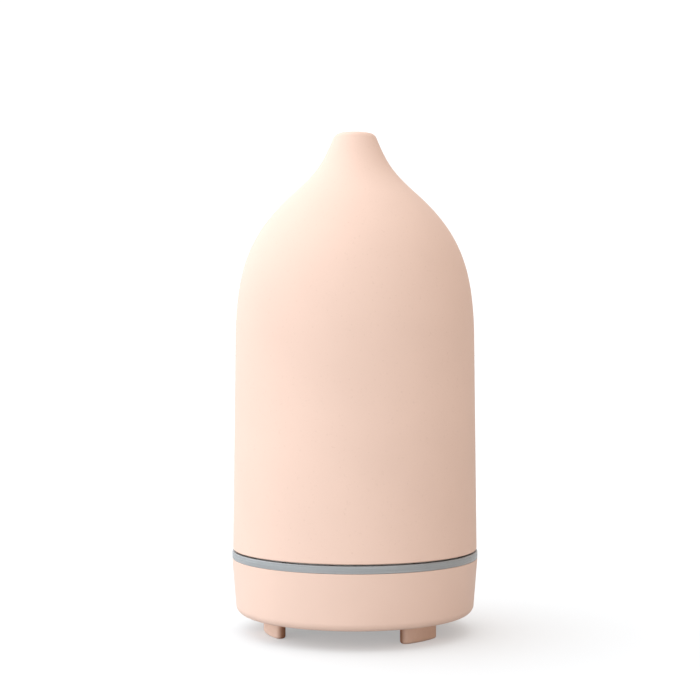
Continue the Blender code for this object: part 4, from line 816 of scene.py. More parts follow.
def foot_outline(angle, grow=0.0, steps=20, ease=FOOT_CORNER):
    """Arc-shaped outline of a foot, or of its recess, with its four corners rounded."""
    outer = FOOT_RADIUS + grow
    inner = FOOT_RADIUS - FOOT_DEPTH - grow
    half = FOOT_SPAN / 2 + math.degrees(grow / FOOT_RADIUS)
    points = []
    for radius, sign, corner in ((outer, 1, 1), (inner, -1, -1)):
        trim = math.degrees(ease / radius)
        sweep = half - trim
        for step in range(steps + 1):
            points.append(polar(radius, angle + sign * (-sweep + 2 * sweep * step / steps)))
        centre_radius = radius - corner * ease
        centre = polar(centre_radius, angle + sign * sweep)
        for step in range(1, 5):
            turn = angle + sign * sweep + (0 if corner > 0 else 180) + 90 * step / 5
            offset = polar(ease, turn)
            points.append((centre[0] + offset[0], centre[1] + offset[1]))
        end_angle = angle + sign * half
        points.append(polar(centre_radius, end_angle))
        other = inner + ease if corner > 0 else outer - ease
        points.append(polar(other, end_angle))
        other_radius = inner if corner > 0 else outer
        other_centre = polar(other, angle + sign * (half - math.degrees(ease / other_radius)))
        for step in range(1, 5):
            turn = angle + sign * half + 90 + (0 if corner > 0 else 180) + 90 * step / 5
            offset = polar(ease, turn)
            points.append((other_centre[0] + offset[0], other_centre[1] + offset[1]))
    return points


def make_feet():
    """Three arc-shaped rubber blocks let into the bottom cover."""
    finish = foot_finish()
    for name, angle in FOOT_ANGLES.items():
        low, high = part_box(name)
        foot = prism(name + "_pad", foot_outline(angle), low.z, high.z, FOOT_EASE, 5)
        place(foot, finish, "foot_rubber", name)


# ======================================================================================
# Base: shell, bottom plate, buttons and socket
# ======================================================================================
def span(node):
    """The low corner, the high corner and the middle of a CAD node's box."""
    low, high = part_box(node)
    return low, high, (low + high) / 2


def numbered(name, count):
    return ["%s_%d" % (name, number) for number in range(1, count + 1)]


def spots(family, count):
    """The middles of a numbered family of CAD nodes."""
    return [span(name)[2] for name in numbered(family, count)]


def hole_tool(radius, low, high, x, y, sides=SMALL):
    """A plain round cutter."""
    return lathe("cutter", peg(high, low, radius), sides, centre=(x, y))


def screw_holes(places, low, high):
    """Cutters for screw shanks at some places, from one height to another."""
    return [hole_tool(SHANK_RADIUS + FIT, low, high, spot.x, spot.y) for spot in places]


def rear_hole(radius, start, end, x, z, sides=SMALL):
    """A plain round cutter that runs to the rear."""
    return rear_turned("cutter", peg(end, start, radius), x, z, sides)


def make_base():
    """Tapered base shell with its lugs, bosses, button holes and socket hole."""
    opening = PLATE_HIGH.x + FIT
    ledge = opening - LEDGE_WIDTH
    foot = BODY_RADIUS - BASE_TAPER
    outline = arc(BODY_RADIUS - RIM_EASE, BASE_TOP - RIM_EASE, RIM_EASE, 90, 0, 3)
    outline += arc(foot - BASE_FILLET, BASE_BOTTOM + BASE_FILLET, BASE_FILLET, 0, -90, 12)
    outline += [
        (opening + 0.3 * MM, BASE_BOTTOM),
        (opening, BASE_BOTTOM + 0.3 * MM),
        (opening, LEDGE_BOTTOM),
        (ledge, LEDGE_BOTTOM),
        (ledge, LEDGE_TOP),
        (wall_radius(LEDGE_TOP, BASE_WALL) - 1.0 * MM, LEDGE_TOP),
        (wall_radius(LEDGE_TOP, BASE_WALL), LEDGE_TOP + 1.0 * MM),
        (BODY_RADIUS - BASE_WALL, BASE_TOP),
    ]
    shell = lathe("base_body", outline)
    lug_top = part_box("led_board")[0].z - FIT
    additions = []
    cuts = []
    boss_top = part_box("bottom_screw_1")[1].z + 0.5 * MM
    for spot in spots("bottom_screw", 4):
        additions.append(lathe("boss", peg(boss_top, LEDGE_TOP - MM, BOSS_RADIUS, 0.4, steps=3),
                               SMALL, centre=spot))
    cuts += screw_holes(spots("bottom_screw", 4), BASE_BOTTOM, boss_top - 0.4 * MM)
    for spot in spots("tank_screw", 3):
        lug = block("lug", (LUG_INNER, -LUG_WIDTH / 2, lug_top - LUG_THICKNESS),
                    (BODY_RADIUS - 1.8 * MM, LUG_WIDTH / 2, lug_top), 0.5 * MM, 3)
        additions.append(turned_about(lug, (0, 0), math.atan2(spot.y, spot.x)))
    cuts += screw_holes(spots("tank_screw", 3), lug_top - 6 * MM, lug_top + MM)
    boolean(shell, additions, "UNION")
    for name in ("mist_button", "light_button"):
        spot = span(name)[2]
        cuts.append(rear_hole(BUTTON_RADIUS + FIT, BODY_RADIUS / 2, BODY_RADIUS + 2 * MM,
                              spot.x, spot.z, WALL_HOLE_SIDES))
    socket = span("socket_pin")[2]
    nose_hole = JACK_NOSE_RADIUS + FIT
    face = wall_radius(socket.z)
    cuts.append(rear_turned("cutter", [
        (0, face + MM), (nose_hole + 1.2 * MM, face + MM), (nose_hole, face - 0.35 * MM),
        (nose_hole, BODY_RADIUS / 2), (0, BODY_RADIUS / 2)], 0, socket.z, WALL_HOLE_SIDES))
    boolean(shell, cuts)
    place(shell, look("peach_plastic"), "peach_plastic", "base_shell")


def slot_outline(x, low, high, half_width):
    """A slot with round ends that runs along Y."""
    points = []
    for centre, start in ((high - half_width, 0), (low + half_width, 180)):
        for step in range(9):
            dx, dy = polar(half_width, start + 180 * step / 8)
            points.append((x + dx, centre + dy))
    return points


def make_bottom_plate():
    """Round plate under the base, with vents, foot recesses, posts and ribs."""
    top = BASE_BOTTOM + PLATE_THICKNESS
    plate = lathe("base_plate", peg(top, BASE_BOTTOM, PLATE_HIGH.x, 0.3, 0.5, 3))
    fan_low, fan_high, fan = span("fan_frame")
    rear_low, rear_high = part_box("rear_board")
    inset = FAN_HOLE_INSET
    posts = [(x, y, fan_low.z - GAP) for x in (fan_low.x + inset, fan_high.x - inset)
             for y in (fan_low.y + inset, fan_high.y - inset)]
    posts += [(spot.x, spot.y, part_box("main_board")[0].z - GAP)
              for spot in spots("board_screw", 2)]
    additions = []
    cuts = []
    for x, y, height in posts:
        additions.append(lathe("post", rounded([
            (0, height, 0), (POST_RADIUS - 0.2 * MM, height, 0.3 * MM),
            (POST_RADIUS, top - MM, 0), (0, top - MM, 0)], 3), SMALL, centre=(x, y)))
    for side in (-1, 1):
        middle = side * RIB_OFFSET
        additions.append(block("rib", (middle - 2 * MM, rear_low.y - 2 * MM, top - MM),
                               (middle + 2 * MM, rear_high.y + 2 * MM, rear_low.z + 2 * MM),
                               0.3 * MM))
        cuts.append(block("cutter", (middle - 4 * MM, rear_low.y - 0.1 * MM, rear_low.z - GAP),
                          (middle + 4 * MM, rear_high.y + 0.1 * MM, rear_low.z + 4 * MM), 0))
    jack_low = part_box("power_socket")[0]
    additions.append(block("rest", (-3 * MM, rear_low.y - 3.6 * MM, top - MM),
                           (3 * MM, rear_low.y - FIT, jack_low.z - GAP), 0.3 * MM))
    boolean(plate, additions, "UNION")
    reach = FAN_BORE - VENT_WIDTH / 2
    for index in range(VENT_COUNT):
        offset = (index - (VENT_COUNT - 1) / 2) * VENT_PITCH
        half = math.sqrt(reach ** 2 - offset ** 2) - VENT_WIDTH / 2
        cuts.append(prism("cutter", slot_outline(fan.x + offset, -half, half, VENT_WIDTH / 2),
                          BASE_BOTTOM - MM, top + MM))
    for angle in FOOT_ANGLES.values():
        cuts.append(prism("cutter", foot_outline(angle, grow=FOOT_SLACK),
                          BASE_BOTTOM - MM, BASE_BOTTOM + FOOT_RECESS))
    sink = BASE_BOTTOM + SCREW_SINK
    for spot in spots("bottom_screw", 4):
        cuts.append(lathe("cutter", [
            (0, top + MM), (SHANK_RADIUS + FIT, top + MM), (SHANK_RADIUS + FIT, sink),
            (HEAD_RADIUS + FIT, sink), (HEAD_RADIUS + FIT, BASE_BOTTOM + 0.3 * MM),
            (HEAD_RADIUS + 0.9 * MM, BASE_BOTTOM - 0.3 * MM), (0, BASE_BOTTOM - 0.3 * MM)],
            SMALL, centre=spot))
    cuts += screw_holes(spots("fan_screw", 2) + spots("board_screw", 2),
                        top - 0.5 * MM, top + 8 * MM)
    boolean(plate, cuts)
    place(plate, look("peach_plate"), "peach_plastic", "bottom_cover")


def wall_y(x, z):
    """How far back the outer face of the base's wall is at a place on the rear."""
    return math.sqrt(max(wall_radius(z) ** 2 - x * x, 0.0))


def make_button(side):
    """A push button whose face follows the wall, softly dished, with its rim rounded."""
    low, high, spot = span(side + "_button")
    flange_radius = (high.z - low.z) / 2
    flange_end = low.y + FLANGE_DEPTH
    sides = 64
    ease = BUTTON_EASE
    rings = [(share * BUTTON_RADIUS, "face", -depth * MM) for share, depth in BUTTON_DISH]
    for step in range(5):
        turn = math.radians(90 - 90 * step / 4)
        rings.append((BUTTON_RADIUS - ease + ease * math.cos(turn), "face",
                      -ease + ease * math.sin(turn)))
    rings += [(BUTTON_RADIUS, "back", flange_end), (flange_radius - 0.2 * MM, "back", flange_end),
              (flange_radius, "back", flange_end - 0.2 * MM),
              (flange_radius, "back", low.y + 0.2 * MM),
              (flange_radius - 0.2 * MM, "back", low.y), (0.0, "back", low.y)]
    bm = bmesh.new()
    loops = []
    for radius, kind, value in rings:
        loop = []
        for number in range(sides):
            dx, dz = polar(radius, 360 * number / sides)
            x = spot.x + dx
            z = BUTTON_Z + dz
            y = wall_y(x, z) + BUTTON_PROUD + value if kind == "face" else value
            loop.append(bm.verts.new((x, y, z)))
        loops.append(loop)
    bridge(bm, loops, capped=False)
    bmesh.ops.remove_doubles(bm, verts=bm.verts, dist=WELD)
    bmesh.ops.dissolve_degenerate(bm, dist=SLIVER, edges=bm.edges)
    button = finish_mesh(bm, side + "_push_button")
    place(button, look("peach_button"), "peach_plastic", side + "_button", body=side + "_key")


def make_plunger(side):
    """The round stem of a tact switch."""
    low, high, spot = span(side + "_plunger")
    radius = (high.x - low.x) / 2
    stem = rear_turned(side + "_stem", peg(high.y, low.y, radius, 0.25, 0.1), spot.x, spot.z)
    place(stem, look("ivory_plastic"), "white_plastic", side + "_plunger", body=side + "_key")


def make_switch(side):
    """A tact switch: moulded body, pressed metal plate with a round window, four legs."""
    low, high, spot = span(side + "_switch")
    half = (high.x - low.x) / 2
    body = block(side + "_switch_body", (low.x, low.y, low.z), (high.x, high.y - 0.45 * MM, high.z),
                 0.25 * MM)
    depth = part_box(side + "_plunger")[0].y - 0.7 * MM
    boolean(body, [rear_hole(SWITCH_WELL, depth, high.y + MM, spot.x, spot.z)])
    place(body, look("black_plastic"), "black_plastic", side + "_switch")
    metal = block(side + "_switch_plate", (low.x + 0.1 * MM, high.y - 0.4 * MM, low.z + 0.1 * MM),
                  (high.x - 0.1 * MM, high.y, high.z - 0.1 * MM), 0.12 * MM)
    boolean(metal, [rear_hole(SWITCH_WELL, high.y - MM, high.y + MM, spot.x, spot.z)])
    place(metal, look("zinc_steel"), "screw_steel")
    legs = []
    for sx in (-1, 1):
        for sz in (-1, 1):
            x = spot.x + sx * (half - 0.05 * MM)
            z = spot.z + sz * (half - 1.3 * MM)
            legs.append(block("leg", (x - 0.15 * MM, low.y - 0.25 * MM, z - 0.35 * MM),
                              (x + 0.15 * MM, high.y - 1.2 * MM, z + 0.35 * MM), 0.05 * MM))
    place(joined(side + "_switch_legs", legs), look("zinc_steel"), "screw_steel")


def make_socket():
    """The barrel socket: body, nose with a chamfered bore, and a spring contact pin."""
    low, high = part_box("power_socket")
    pin_low, pin_high, pin_middle = span("socket_pin")
    height = pin_middle.z
    face = high.y - 2.3 * MM
    body = block("socket_body", (low.x, low.y, low.z), (high.x, face, high.z), 0.4 * MM, 3)
    nose = rear_turned("nose", peg(high.y, face - MM, JACK_NOSE_RADIUS, 0.4), 0, height,
                       WALL_HOLE_SIDES)
    boolean(body, [nose], "UNION")
    bore_end = pin_low.y - FIT
    boolean(body, [rear_turned("cutter", [
        (0, high.y + MM), (JACK_BORE + 0.5 * MM + MM, high.y + MM),
        (JACK_BORE, high.y - 0.5 * MM), (JACK_BORE, bore_end), (0, bore_end)],
        0, height, WALL_HOLE_SIDES)])
    place(body, look("black_plastic"), "black_plastic", "power_socket")
    radius = (pin_high.x - pin_low.x) / 2
    pin = rear_turned("socket_contact", peg(pin_high.y, pin_low.y, radius, 0.6), 0, height)
    place(pin, look("zinc_steel"), "screw_steel", "socket_pin")


# ======================================================================================
# Tank, air duct, lid and mist disc
# ======================================================================================
def make_tank():
    """White tank: bowl, flange, centring rib, sloping floor and screw bosses."""
    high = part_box("water_tank")[1]
    rim = high.z
    radius = TANK_RADIUS
    inside = radius - TANK_WALL
    flange_top = COVER_BOTTOM - FIT
    flange_bottom = flange_top - TANK_FLANGE
    edge = high.x
    rib_outer = COVER_RADIUS - COVER_WALL - RIB_SLIP
    rib_inner = rib_outer - RIB_THICKNESS
    rib_top = flange_top + RIB_HEIGHT
    floor_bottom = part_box("disc_seal")[1].z + GAP
    floor_top = floor_bottom + FLOOR_THICKNESS
    line = rim - FILL_LINE_DROP
    outline = rounded([
        (radius, rim, 0.7 * MM),
        (radius, flange_top, 1.2 * MM),
        (rib_inner, flange_top, 0.3 * MM),
        (rib_inner, rib_top, 0.4 * MM),
        (rib_outer, rib_top, 0.4 * MM),
        (rib_outer, flange_top, 0.2 * MM),
        (edge, flange_top, 0.2 * MM),
        (edge, flange_top - TANK_EDGE, 0.1 * MM),
        (edge - RING_LIP_WIDTH, flange_top - TANK_EDGE, 0.1 * MM),
        (edge - RING_LIP_WIDTH, flange_bottom, 0.3 * MM),
        (inside, flange_bottom, 0.3 * MM),
        (inside, floor_bottom, 0.5 * MM),
        (WINDOW_RADIUS, floor_bottom, 0.2 * MM),
        (WINDOW_RADIUS, floor_top, 0.8 * MM),
        (inside, floor_top + FLOOR_FALL, 4.5 * MM),
        (inside, line - 0.5 * MM, 0),
        (inside - 0.25 * MM, line - 0.25 * MM, 0.1 * MM),
        (inside - 0.25 * MM, line + 0.25 * MM, 0.1 * MM),
        (inside, line + 0.5 * MM, 0),
        (inside, rim, 0.7 * MM),
    ], 6)
    tank = lathe("tank_body", outline)
    additions = []
    cuts = []
    for family, bottom, top in (
            ("tank_screw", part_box("led_board")[1].z + GAP, flange_bottom),
            ("retainer_screw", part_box("disc_retainer")[1].z + GAP, floor_bottom)):
        for spot in spots(family, 3):
            boss = peg(top + 0.8 * MM, bottom, BOSS_RADIUS, 0, 0.3, 3)
            additions.append(lathe("boss", boss, SMALL, centre=spot))
        cuts += screw_holes(spots(family, 3), bottom - MM, top + 1.25 * MM)
    duct = span("air_duct")[2]
    cuts.append(hole_tool(DUCT_RADIUS + 0.1 * MM, floor_bottom - MM, floor_top + 6 * MM,
                          duct.x, duct.y, WALL_HOLE_SIDES))
    boolean(tank, additions, "UNION")
    boolean(tank, cuts)
    place(tank, look("white_plastic"), "white_plastic", "water_tank")


def make_duct():
    """Round riser with a flange under the floor and a flared top."""
    low, high, middle = span("air_duct")
    flange = (high.x - low.x) / 2
    flange_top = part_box("disc_seal")[1].z
    inside = DUCT_RADIUS - DUCT_WALL
    outline = rounded([
        (DUCT_RADIUS, high.z, 0.5 * MM),
        (DUCT_RADIUS, flange_top, 0),
        (flange, flange_top, 0.3 * MM),
        (flange, flange_top - 2.0 * MM, 0.3 * MM),
        (DUCT_RADIUS, flange_top - 2.0 * MM, 0.3 * MM),
        (DUCT_RADIUS, low.z, 0.3 * MM),
        (inside, low.z, 0.3 * MM),
        (inside, high.z, 0.6 * MM),
    ])
    duct = lathe("air_riser", outline, MEDIUM, centre=middle)
    place(duct, look("white_plastic"), "white_plastic", "air_duct")


def make_lid():
    """Domed lid with a seating rim, a plug collar, a stepped dome and a long spout."""
    low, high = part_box("reservoir_lid")
    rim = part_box("water_tank")[1].z + GAP
    radius = TANK_RADIUS
    plug = radius - TANK_WALL - FIT
    edge_top = rim + FIT + LID_EDGE_HEIGHT
    spout = SPOUT_RADIUS
    outside = []
    inside = []
    steps = 30
    for step in range(steps + 1):
        angle = math.radians(90 * step / steps)
        outside.append((spout + (radius - 0.4 * MM - spout) * math.cos(angle),
                        edge_top + LID_DOME * math.sin(angle)))
        inside.append((spout - LID_WALL + (plug - spout) * math.cos(angle),
                       edge_top + (LID_DOME - LID_WALL) * math.sin(angle)))
    flare_radius = 3 * MM
    share = flare_radius / (radius - 0.4 * MM - spout)
    flare_bottom = edge_top + LID_DOME * math.sqrt(1 - share ** 2)
    flare = arc(spout + flare_radius, flare_bottom + flare_radius, flare_radius, 270, 180, 6)
    outside = [point for point in outside if point[0] > spout + flare_radius]
    outline = [(spout - 0.35 * MM, high.z), (spout - 0.1 * MM, high.z - 0.1 * MM),
               (spout, high.z - 0.35 * MM)]
    outline += list(reversed(flare)) + list(reversed(outside))
    outline += [
        (radius - 0.1 * MM, edge_top - 0.3 * MM),
        (radius, edge_top - 0.6 * MM),
        (radius, rim + 0.3 * MM),
        (radius - 0.3 * MM, rim),
        (plug, rim),
        (plug, low.z + 0.5 * MM),
        (plug - 0.3 * MM, low.z),
        (plug - LID_WALL + 0.2 * MM, low.z),
        (plug - LID_WALL, low.z + 0.3 * MM),
    ]
    outline += inside
    outline += [(spout - LID_WALL, high.z - 0.3 * MM), (spout - LID_WALL + 0.2 * MM, high.z)]
    lid = lathe("lid_body", outline)
    place(lid, look("lid_plastic"), "white_plastic", "reservoir_lid", body="lid")


def make_mist_disc():
    """Steel-faced disc with a raised middle, and the plain electrode below."""
    low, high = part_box("mist_disc")
    radius = high.x
    disc = lathe("disc_face", rounded([
        (0, high.z, 0), (3.2 * MM, high.z, 0.1 * MM), (3.5 * MM, high.z - 0.2 * MM, 0.1 * MM),
        (radius - 1.8 * MM, high.z - 0.2 * MM, 0.1 * MM), (radius - 1.5 * MM, high.z, 0.1 * MM),
        (radius, high.z, 0.2 * MM), (radius, low.z, 0.1 * MM), (7.0 * MM, low.z, 0),
        (7.0 * MM, low.z + 0.15 * MM, 0), (0, low.z + 0.15 * MM, 0)], 3), MEDIUM)
    place(disc, electrode_finish(), "screw_steel", "mist_disc")


def make_seal():
    """Silicone ring with a lip over the disc."""
    low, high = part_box("disc_seal")
    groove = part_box("mist_disc")[1].x + 0.1 * MM
    disc_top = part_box("mist_disc")[1].z + GAP
    seal = lathe("seal_ring", rounded([
        (high.x, high.z, 0.3 * MM), (high.x, low.z, 0.3 * MM), (groove, low.z, 0.1 * MM),
        (groove, disc_top, 0), (WINDOW_RADIUS + 0.1 * MM, disc_top, 0.2 * MM),
        (WINDOW_RADIUS + 0.1 * MM, high.z, 0.3 * MM)], 4), MEDIUM)
    place(seal, look("grey_silicone"), "grey_silicone", "disc_seal")


def make_retainer():
    """Moulded ring with three screw ears."""
    low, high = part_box("disc_retainer")
    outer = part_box("disc_seal")[1].x
    ring = lathe("retainer_ring", rounded([
        (outer, high.z, 0.2 * MM), (outer, low.z, 0.4 * MM),
        (RETAINER_BORE, low.z, 0.4 * MM), (RETAINER_BORE, high.z, 0.2 * MM)], 4), MEDIUM)
    for spot in spots("retainer_screw", 3):
        arm = block("arm", (outer - MM, -BOSS_RADIUS, low.z + 0.2 * MM),
                    (math.hypot(spot.x, spot.y), BOSS_RADIUS, high.z - 0.2 * MM))
        boolean(ring, [turned_about(arm, (0, 0), math.atan2(spot.y, spot.x))], "UNION")
        ear = peg(high.z - GAP, low.z + GAP, BOSS_RADIUS + FIT, 0.2, 0.4, 4)
        boolean(ring, [lathe("ear", ear, SMALL, centre=spot)], "UNION")
    boolean(ring, screw_holes(spots("retainer_screw", 3), low.z - MM, high.z + MM))
    place(ring, look("white_plastic"), "white_plastic", "disc_retainer")


# ======================================================================================
# Screws, fan, boards and leads
# ======================================================================================
def screw_mesh(length):
    """A pan-head screw with a helical thread, its head's face at z = 0, tip upwards."""
    sides = 24
    rows_per_turn = 6
    steps = int(length / THREAD_PITCH * rows_per_turn)
    bm = bmesh.new()
    loops = []
    tip = 1.2 * MM
    for step in range(steps, -1, -1):
        height = length * step / steps
        loop = []
        near_tip = min(1.0, (length - height) / tip)
        core = (SHANK_RADIUS - THREAD_DEPTH) * (0.25 + 0.75 * near_tip)
        for number in range(sides):
            share = number / sides
            phase = (height / THREAD_PITCH - share) % 1.0
            ridge = max(0.0, 1 - abs(phase - 0.5) * 4) * THREAD_DEPTH
            clear = 0.0 if height < 0.5 * MM else 1.0
            radius = core + ridge * clear * near_tip ** 0.5
            x, y = polar(radius, 360 * share)
            loop.append(bm.verts.new((x, y, height)))
        loops.append(loop)
    for radius, height in HEAD_SHAPE:
        loops.append([bm.verts.new((*polar(radius, 360 * number / sides), height))
                      for number in range(sides)])
    bridge(bm, loops)
    piece = finish_mesh(bm, "screw", 40)
    for turn in (0, 90):
        wing = block("cutter", (-0.95 * MM, -0.2 * MM, -HEAD_HEIGHT - 0.3 * MM),
                     (0.95 * MM, 0.2 * MM, -0.55 * MM), 0)
        for vertex in wing.data.vertices:
            if vertex.co.z > -MM:
                vertex.co.x *= 0.55
        boolean(piece, [turned_about(wing, (0, 0), math.radians(turn + 20))])
    mesh = piece.data
    bpy.data.objects.remove(piece)
    return mesh


def make_screws():
    """Every screw, each family sharing one mesh."""
    finish = look("zinc_steel")
    families = (("bottom_screw", 4, True), ("tank_screw", 3, True), ("retainer_screw", 3, True),
                ("fan_screw", 2, False), ("board_screw", 2, False))
    for family, count, upward in families:
        low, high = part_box(family + "_1")
        mesh = screw_mesh(high.z - low.z - HEAD_HEIGHT)
        for number, name in enumerate(numbered(family, count)):
            low, high, middle = span(name)
            screw = bpy.data.objects.new(name + "_fine", mesh)
            bpy.context.scene.collection.objects.link(screw)
            screw.location = middle
            if upward:
                screw.location.z = low.z + HEAD_HEIGHT
                screw.rotation_euler.z = SCREW_TURN * number
            else:
                screw.location.z = high.z - HEAD_HEIGHT
                screw.rotation_euler = (math.pi, 0, SCREW_TURN * number)
            place(screw, finish, "screw_steel", name)


def rounded_square(x, y, half, corner, steps=6):
    """Outline of a square with round corners."""
    points = []
    for index, (sx, sy) in enumerate(((1, 1), (-1, 1), (-1, -1), (1, -1))):
        for step in range(steps + 1):
            dx, dy = polar(corner, 90 * index + 90 * step / steps)
            points.append((x + sx * (half - corner) + dx, y + sy * (half - corner) + dy))
    return points


def make_fan():
    """Fan frame with three struts and a hub plate, and the rotor with curved blades."""
    low, high, middle = span("fan_frame")
    half = (high.x - low.x) / 2
    frame_piece = prism("fan_housing", rounded_square(middle.x, middle.y, half, 2.2 * MM),
                        low.z, high.z, 0.3 * MM)
    cuts = [lathe("cutter", [
        (0, high.z + MM), (FAN_BORE + FAN_FLARE + MM, high.z + MM), (FAN_BORE, high.z - FAN_FLARE),
        (FAN_BORE, low.z + FAN_FLARE), (FAN_BORE + FAN_FLARE + MM, low.z - MM), (0, low.z - MM)],
        MEDIUM, centre=middle)]
    inset = half - FAN_HOLE_INSET
    for sx in (-1, 1):
        for sy in (-1, 1):
            cuts.append(hole_tool(1.4 * MM, low.z - MM, high.z + MM,
                                  middle.x + sx * inset, middle.y + sy * inset))
    boolean(frame_piece, cuts)
    plate = high.z - 1.0 * MM
    hub = lathe("hub", rounded([
        (0, high.z - 0.1 * MM, 0), (HUB_RADIUS, high.z - 0.1 * MM, 0.4 * MM),
        (HUB_RADIUS, plate, 0.1 * MM), (1.5 * MM, plate, 0), (1.5 * MM, low.z + 3.6 * MM, 0.3 * MM),
        (0, low.z + 3.6 * MM, 0)], 4), SMALL, centre=middle)
    boolean(frame_piece, [hub], "UNION")
    for angle in STRUT_ANGLES:
        strut = block("strut", (6 * MM, -1 * MM, plate + 0.05 * MM),
                      (FAN_BORE + FAN_FLARE, 1 * MM, high.z - 0.15 * MM), 0.25 * MM)
        boolean(frame_piece, [turned_about(strut, middle, math.radians(angle))], "UNION")
    place(frame_piece, look("black_plastic"), "black_plastic", "fan_frame")
    make_rotor(middle)


def make_rotor(middle):
    """Cup-shaped hub with seven curved, twisted blades."""
    low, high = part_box("fan_rotor")
    hub = lathe("fan_wheel", rounded([
        (1.7 * MM, high.z, 0.1 * MM), (HUB_RADIUS, high.z, 0.5 * MM), (HUB_RADIUS, low.z, 0.9 * MM),
        (0, low.z, 0), (0, low.z + 3.0 * MM, 0), (1.7 * MM, low.z + 3.0 * MM, 0)], 4), MEDIUM,
        centre=middle)
    height = (high.z - low.z) * 0.84
    centre_z = (low.z + high.z) / 2
    for index in range(BLADE_COUNT):
        bm = bmesh.new()
        sections = []
        for row in range(BLADE_ROWS + 1):
            share = row / BLADE_ROWS
            radius = 7.2 * MM + share * 5.5 * MM
            lean = math.radians(52 - 14 * share)
            half = height / 2 / math.cos(lean) * (1 - 0.06 * share)
            section = []
            for side in (1, -1):
                for step in range(BLADE_CHORD + 1):
                    along = (2 * step / BLADE_CHORD - 1) * side
                    thickness = 0.42 * MM * math.sqrt(max(0.0, 1 - along ** 4)) + 0.04 * MM
                    camber = 0.55 * MM * (1 - along * along)
                    across = camber + side * thickness
                    u = along * half
                    tangent = u * math.sin(lean) + across * math.cos(lean) - 1.5 * MM * share
                    up = u * math.cos(lean) - across * math.sin(lean)
                    up = max(-height / 2, min(height / 2, up))
                    turn = tangent / radius + math.tau * index / BLADE_COUNT
                    section.append(bm.verts.new((middle.x + radius * math.cos(turn),
                                                 middle.y + radius * math.sin(turn),
                                                 centre_z + up)))
            sections.append(section)
        bridge(bm, sections)
        boolean(hub, [finish_mesh(bm, "blade")], "UNION")
    place(hub, look("black_plastic"), "black_plastic", "fan_rotor", body="rotor")


def make_small_parts(name, places, surface):
    """Tiny chip resistors and capacitors at (x, y, turn) places, with tinned ends."""
    bodies = []
    ends = []
    for x, y, turn in places:
        spot = Matrix.Translation((x, y, surface)) @ Matrix.Rotation(math.radians(turn), 4, "Z")
        body = block("chip", (-0.55 * MM, -0.4 * MM, 0), (0.55 * MM, 0.4 * MM, 0.45 * MM),
                     0.04 * MM)
        body.data.transform(spot)
        bodies.append(body)
        for side in (-1, 1):
            end = block("end", (-0.12 * MM, -0.42 * MM, 0), (0.12 * MM, 0.42 * MM, 0.47 * MM),
                        0.05 * MM)
            end.data.transform(spot @ Matrix.Translation((side * 0.68 * MM, 0, 0)))
            ends.append(end)
    place(joined(name, bodies), look("black_plastic"), "black_plastic")
    place(joined(name + "_ends", ends), look("zinc_steel"), "screw_steel")


def make_main_board():
    """Green driver board with its larger parts and a scatter of small ones."""
    low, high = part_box("main_board")
    board = block("driver_board", low, high, 0.12 * MM)
    boolean(board, screw_holes(spots("board_screw", 2), low.z - MM, high.z + MM))
    place(board, board_finish("flat_mask", (1, 1, 0), (0, 0, 1)), "board_green",
          "main_board")
    top = high.z
    chance = random.Random(7)
    chips = [(low.x + (20.5 + 2.4 * column) * MM, y * MM, chance.choice((0, 90)))
             for y in (14.8, 17.0) for column in range(4)]
    chips += [(low.x + 12.4 * MM, (-4.5 + 2.3 * step) * MM, chance.choice((0, 90)))
              for step in range(6)]
    make_small_parts("small_parts", chips, top)
    for make in (make_inductor, make_capacitor, make_chip, make_transistor, make_heat_sink):
        make(top)
    for name in ("disc_connector", "fan_connector", "led_connector"):
        make_connector(name, top)


def make_inductor(top):
    """Ferrite drum with a copper winding."""
    low, high, middle = span("power_inductor")
    radius = (high.x - low.x) / 2
    core = lathe("inductor_core", rounded([
        (radius, high.z, 0.4 * MM), (radius, high.z - 1.1 * MM, 0.2 * MM),
        (radius - 1.9 * MM, high.z - 1.1 * MM, 0), (radius - 1.9 * MM, top + 1.3 * MM, 0),
        (radius, top + 1.3 * MM, 0.2 * MM), (radius, top, 0.2 * MM),
        (1.6 * MM, top, 0.2 * MM), (1.6 * MM, high.z, 0.4 * MM)], 3), SMALL,
        centre=middle)
    place(core, look("ferrite"), "ferrite", "power_inductor")
    wire = 0.28 * MM
    turns = int((high.z - top - 2.6 * MM) / (2 * wire))
    outline = [(radius - 1.8 * MM, high.z - 1.15 * MM)]
    for turn in range(turns):
        outline += arc(radius - 1.0 * MM, high.z - 1.2 * MM - wire * (2 * turn + 1), wire,
                       80, -80, 5)
    outline.append((radius - 1.8 * MM, high.z - 1.2 * MM - wire * 2 * turns))
    winding = lathe("inductor_winding", outline, SMALL, 60, centre=middle)
    place(winding, look("enamelled_copper"), "ferrite")


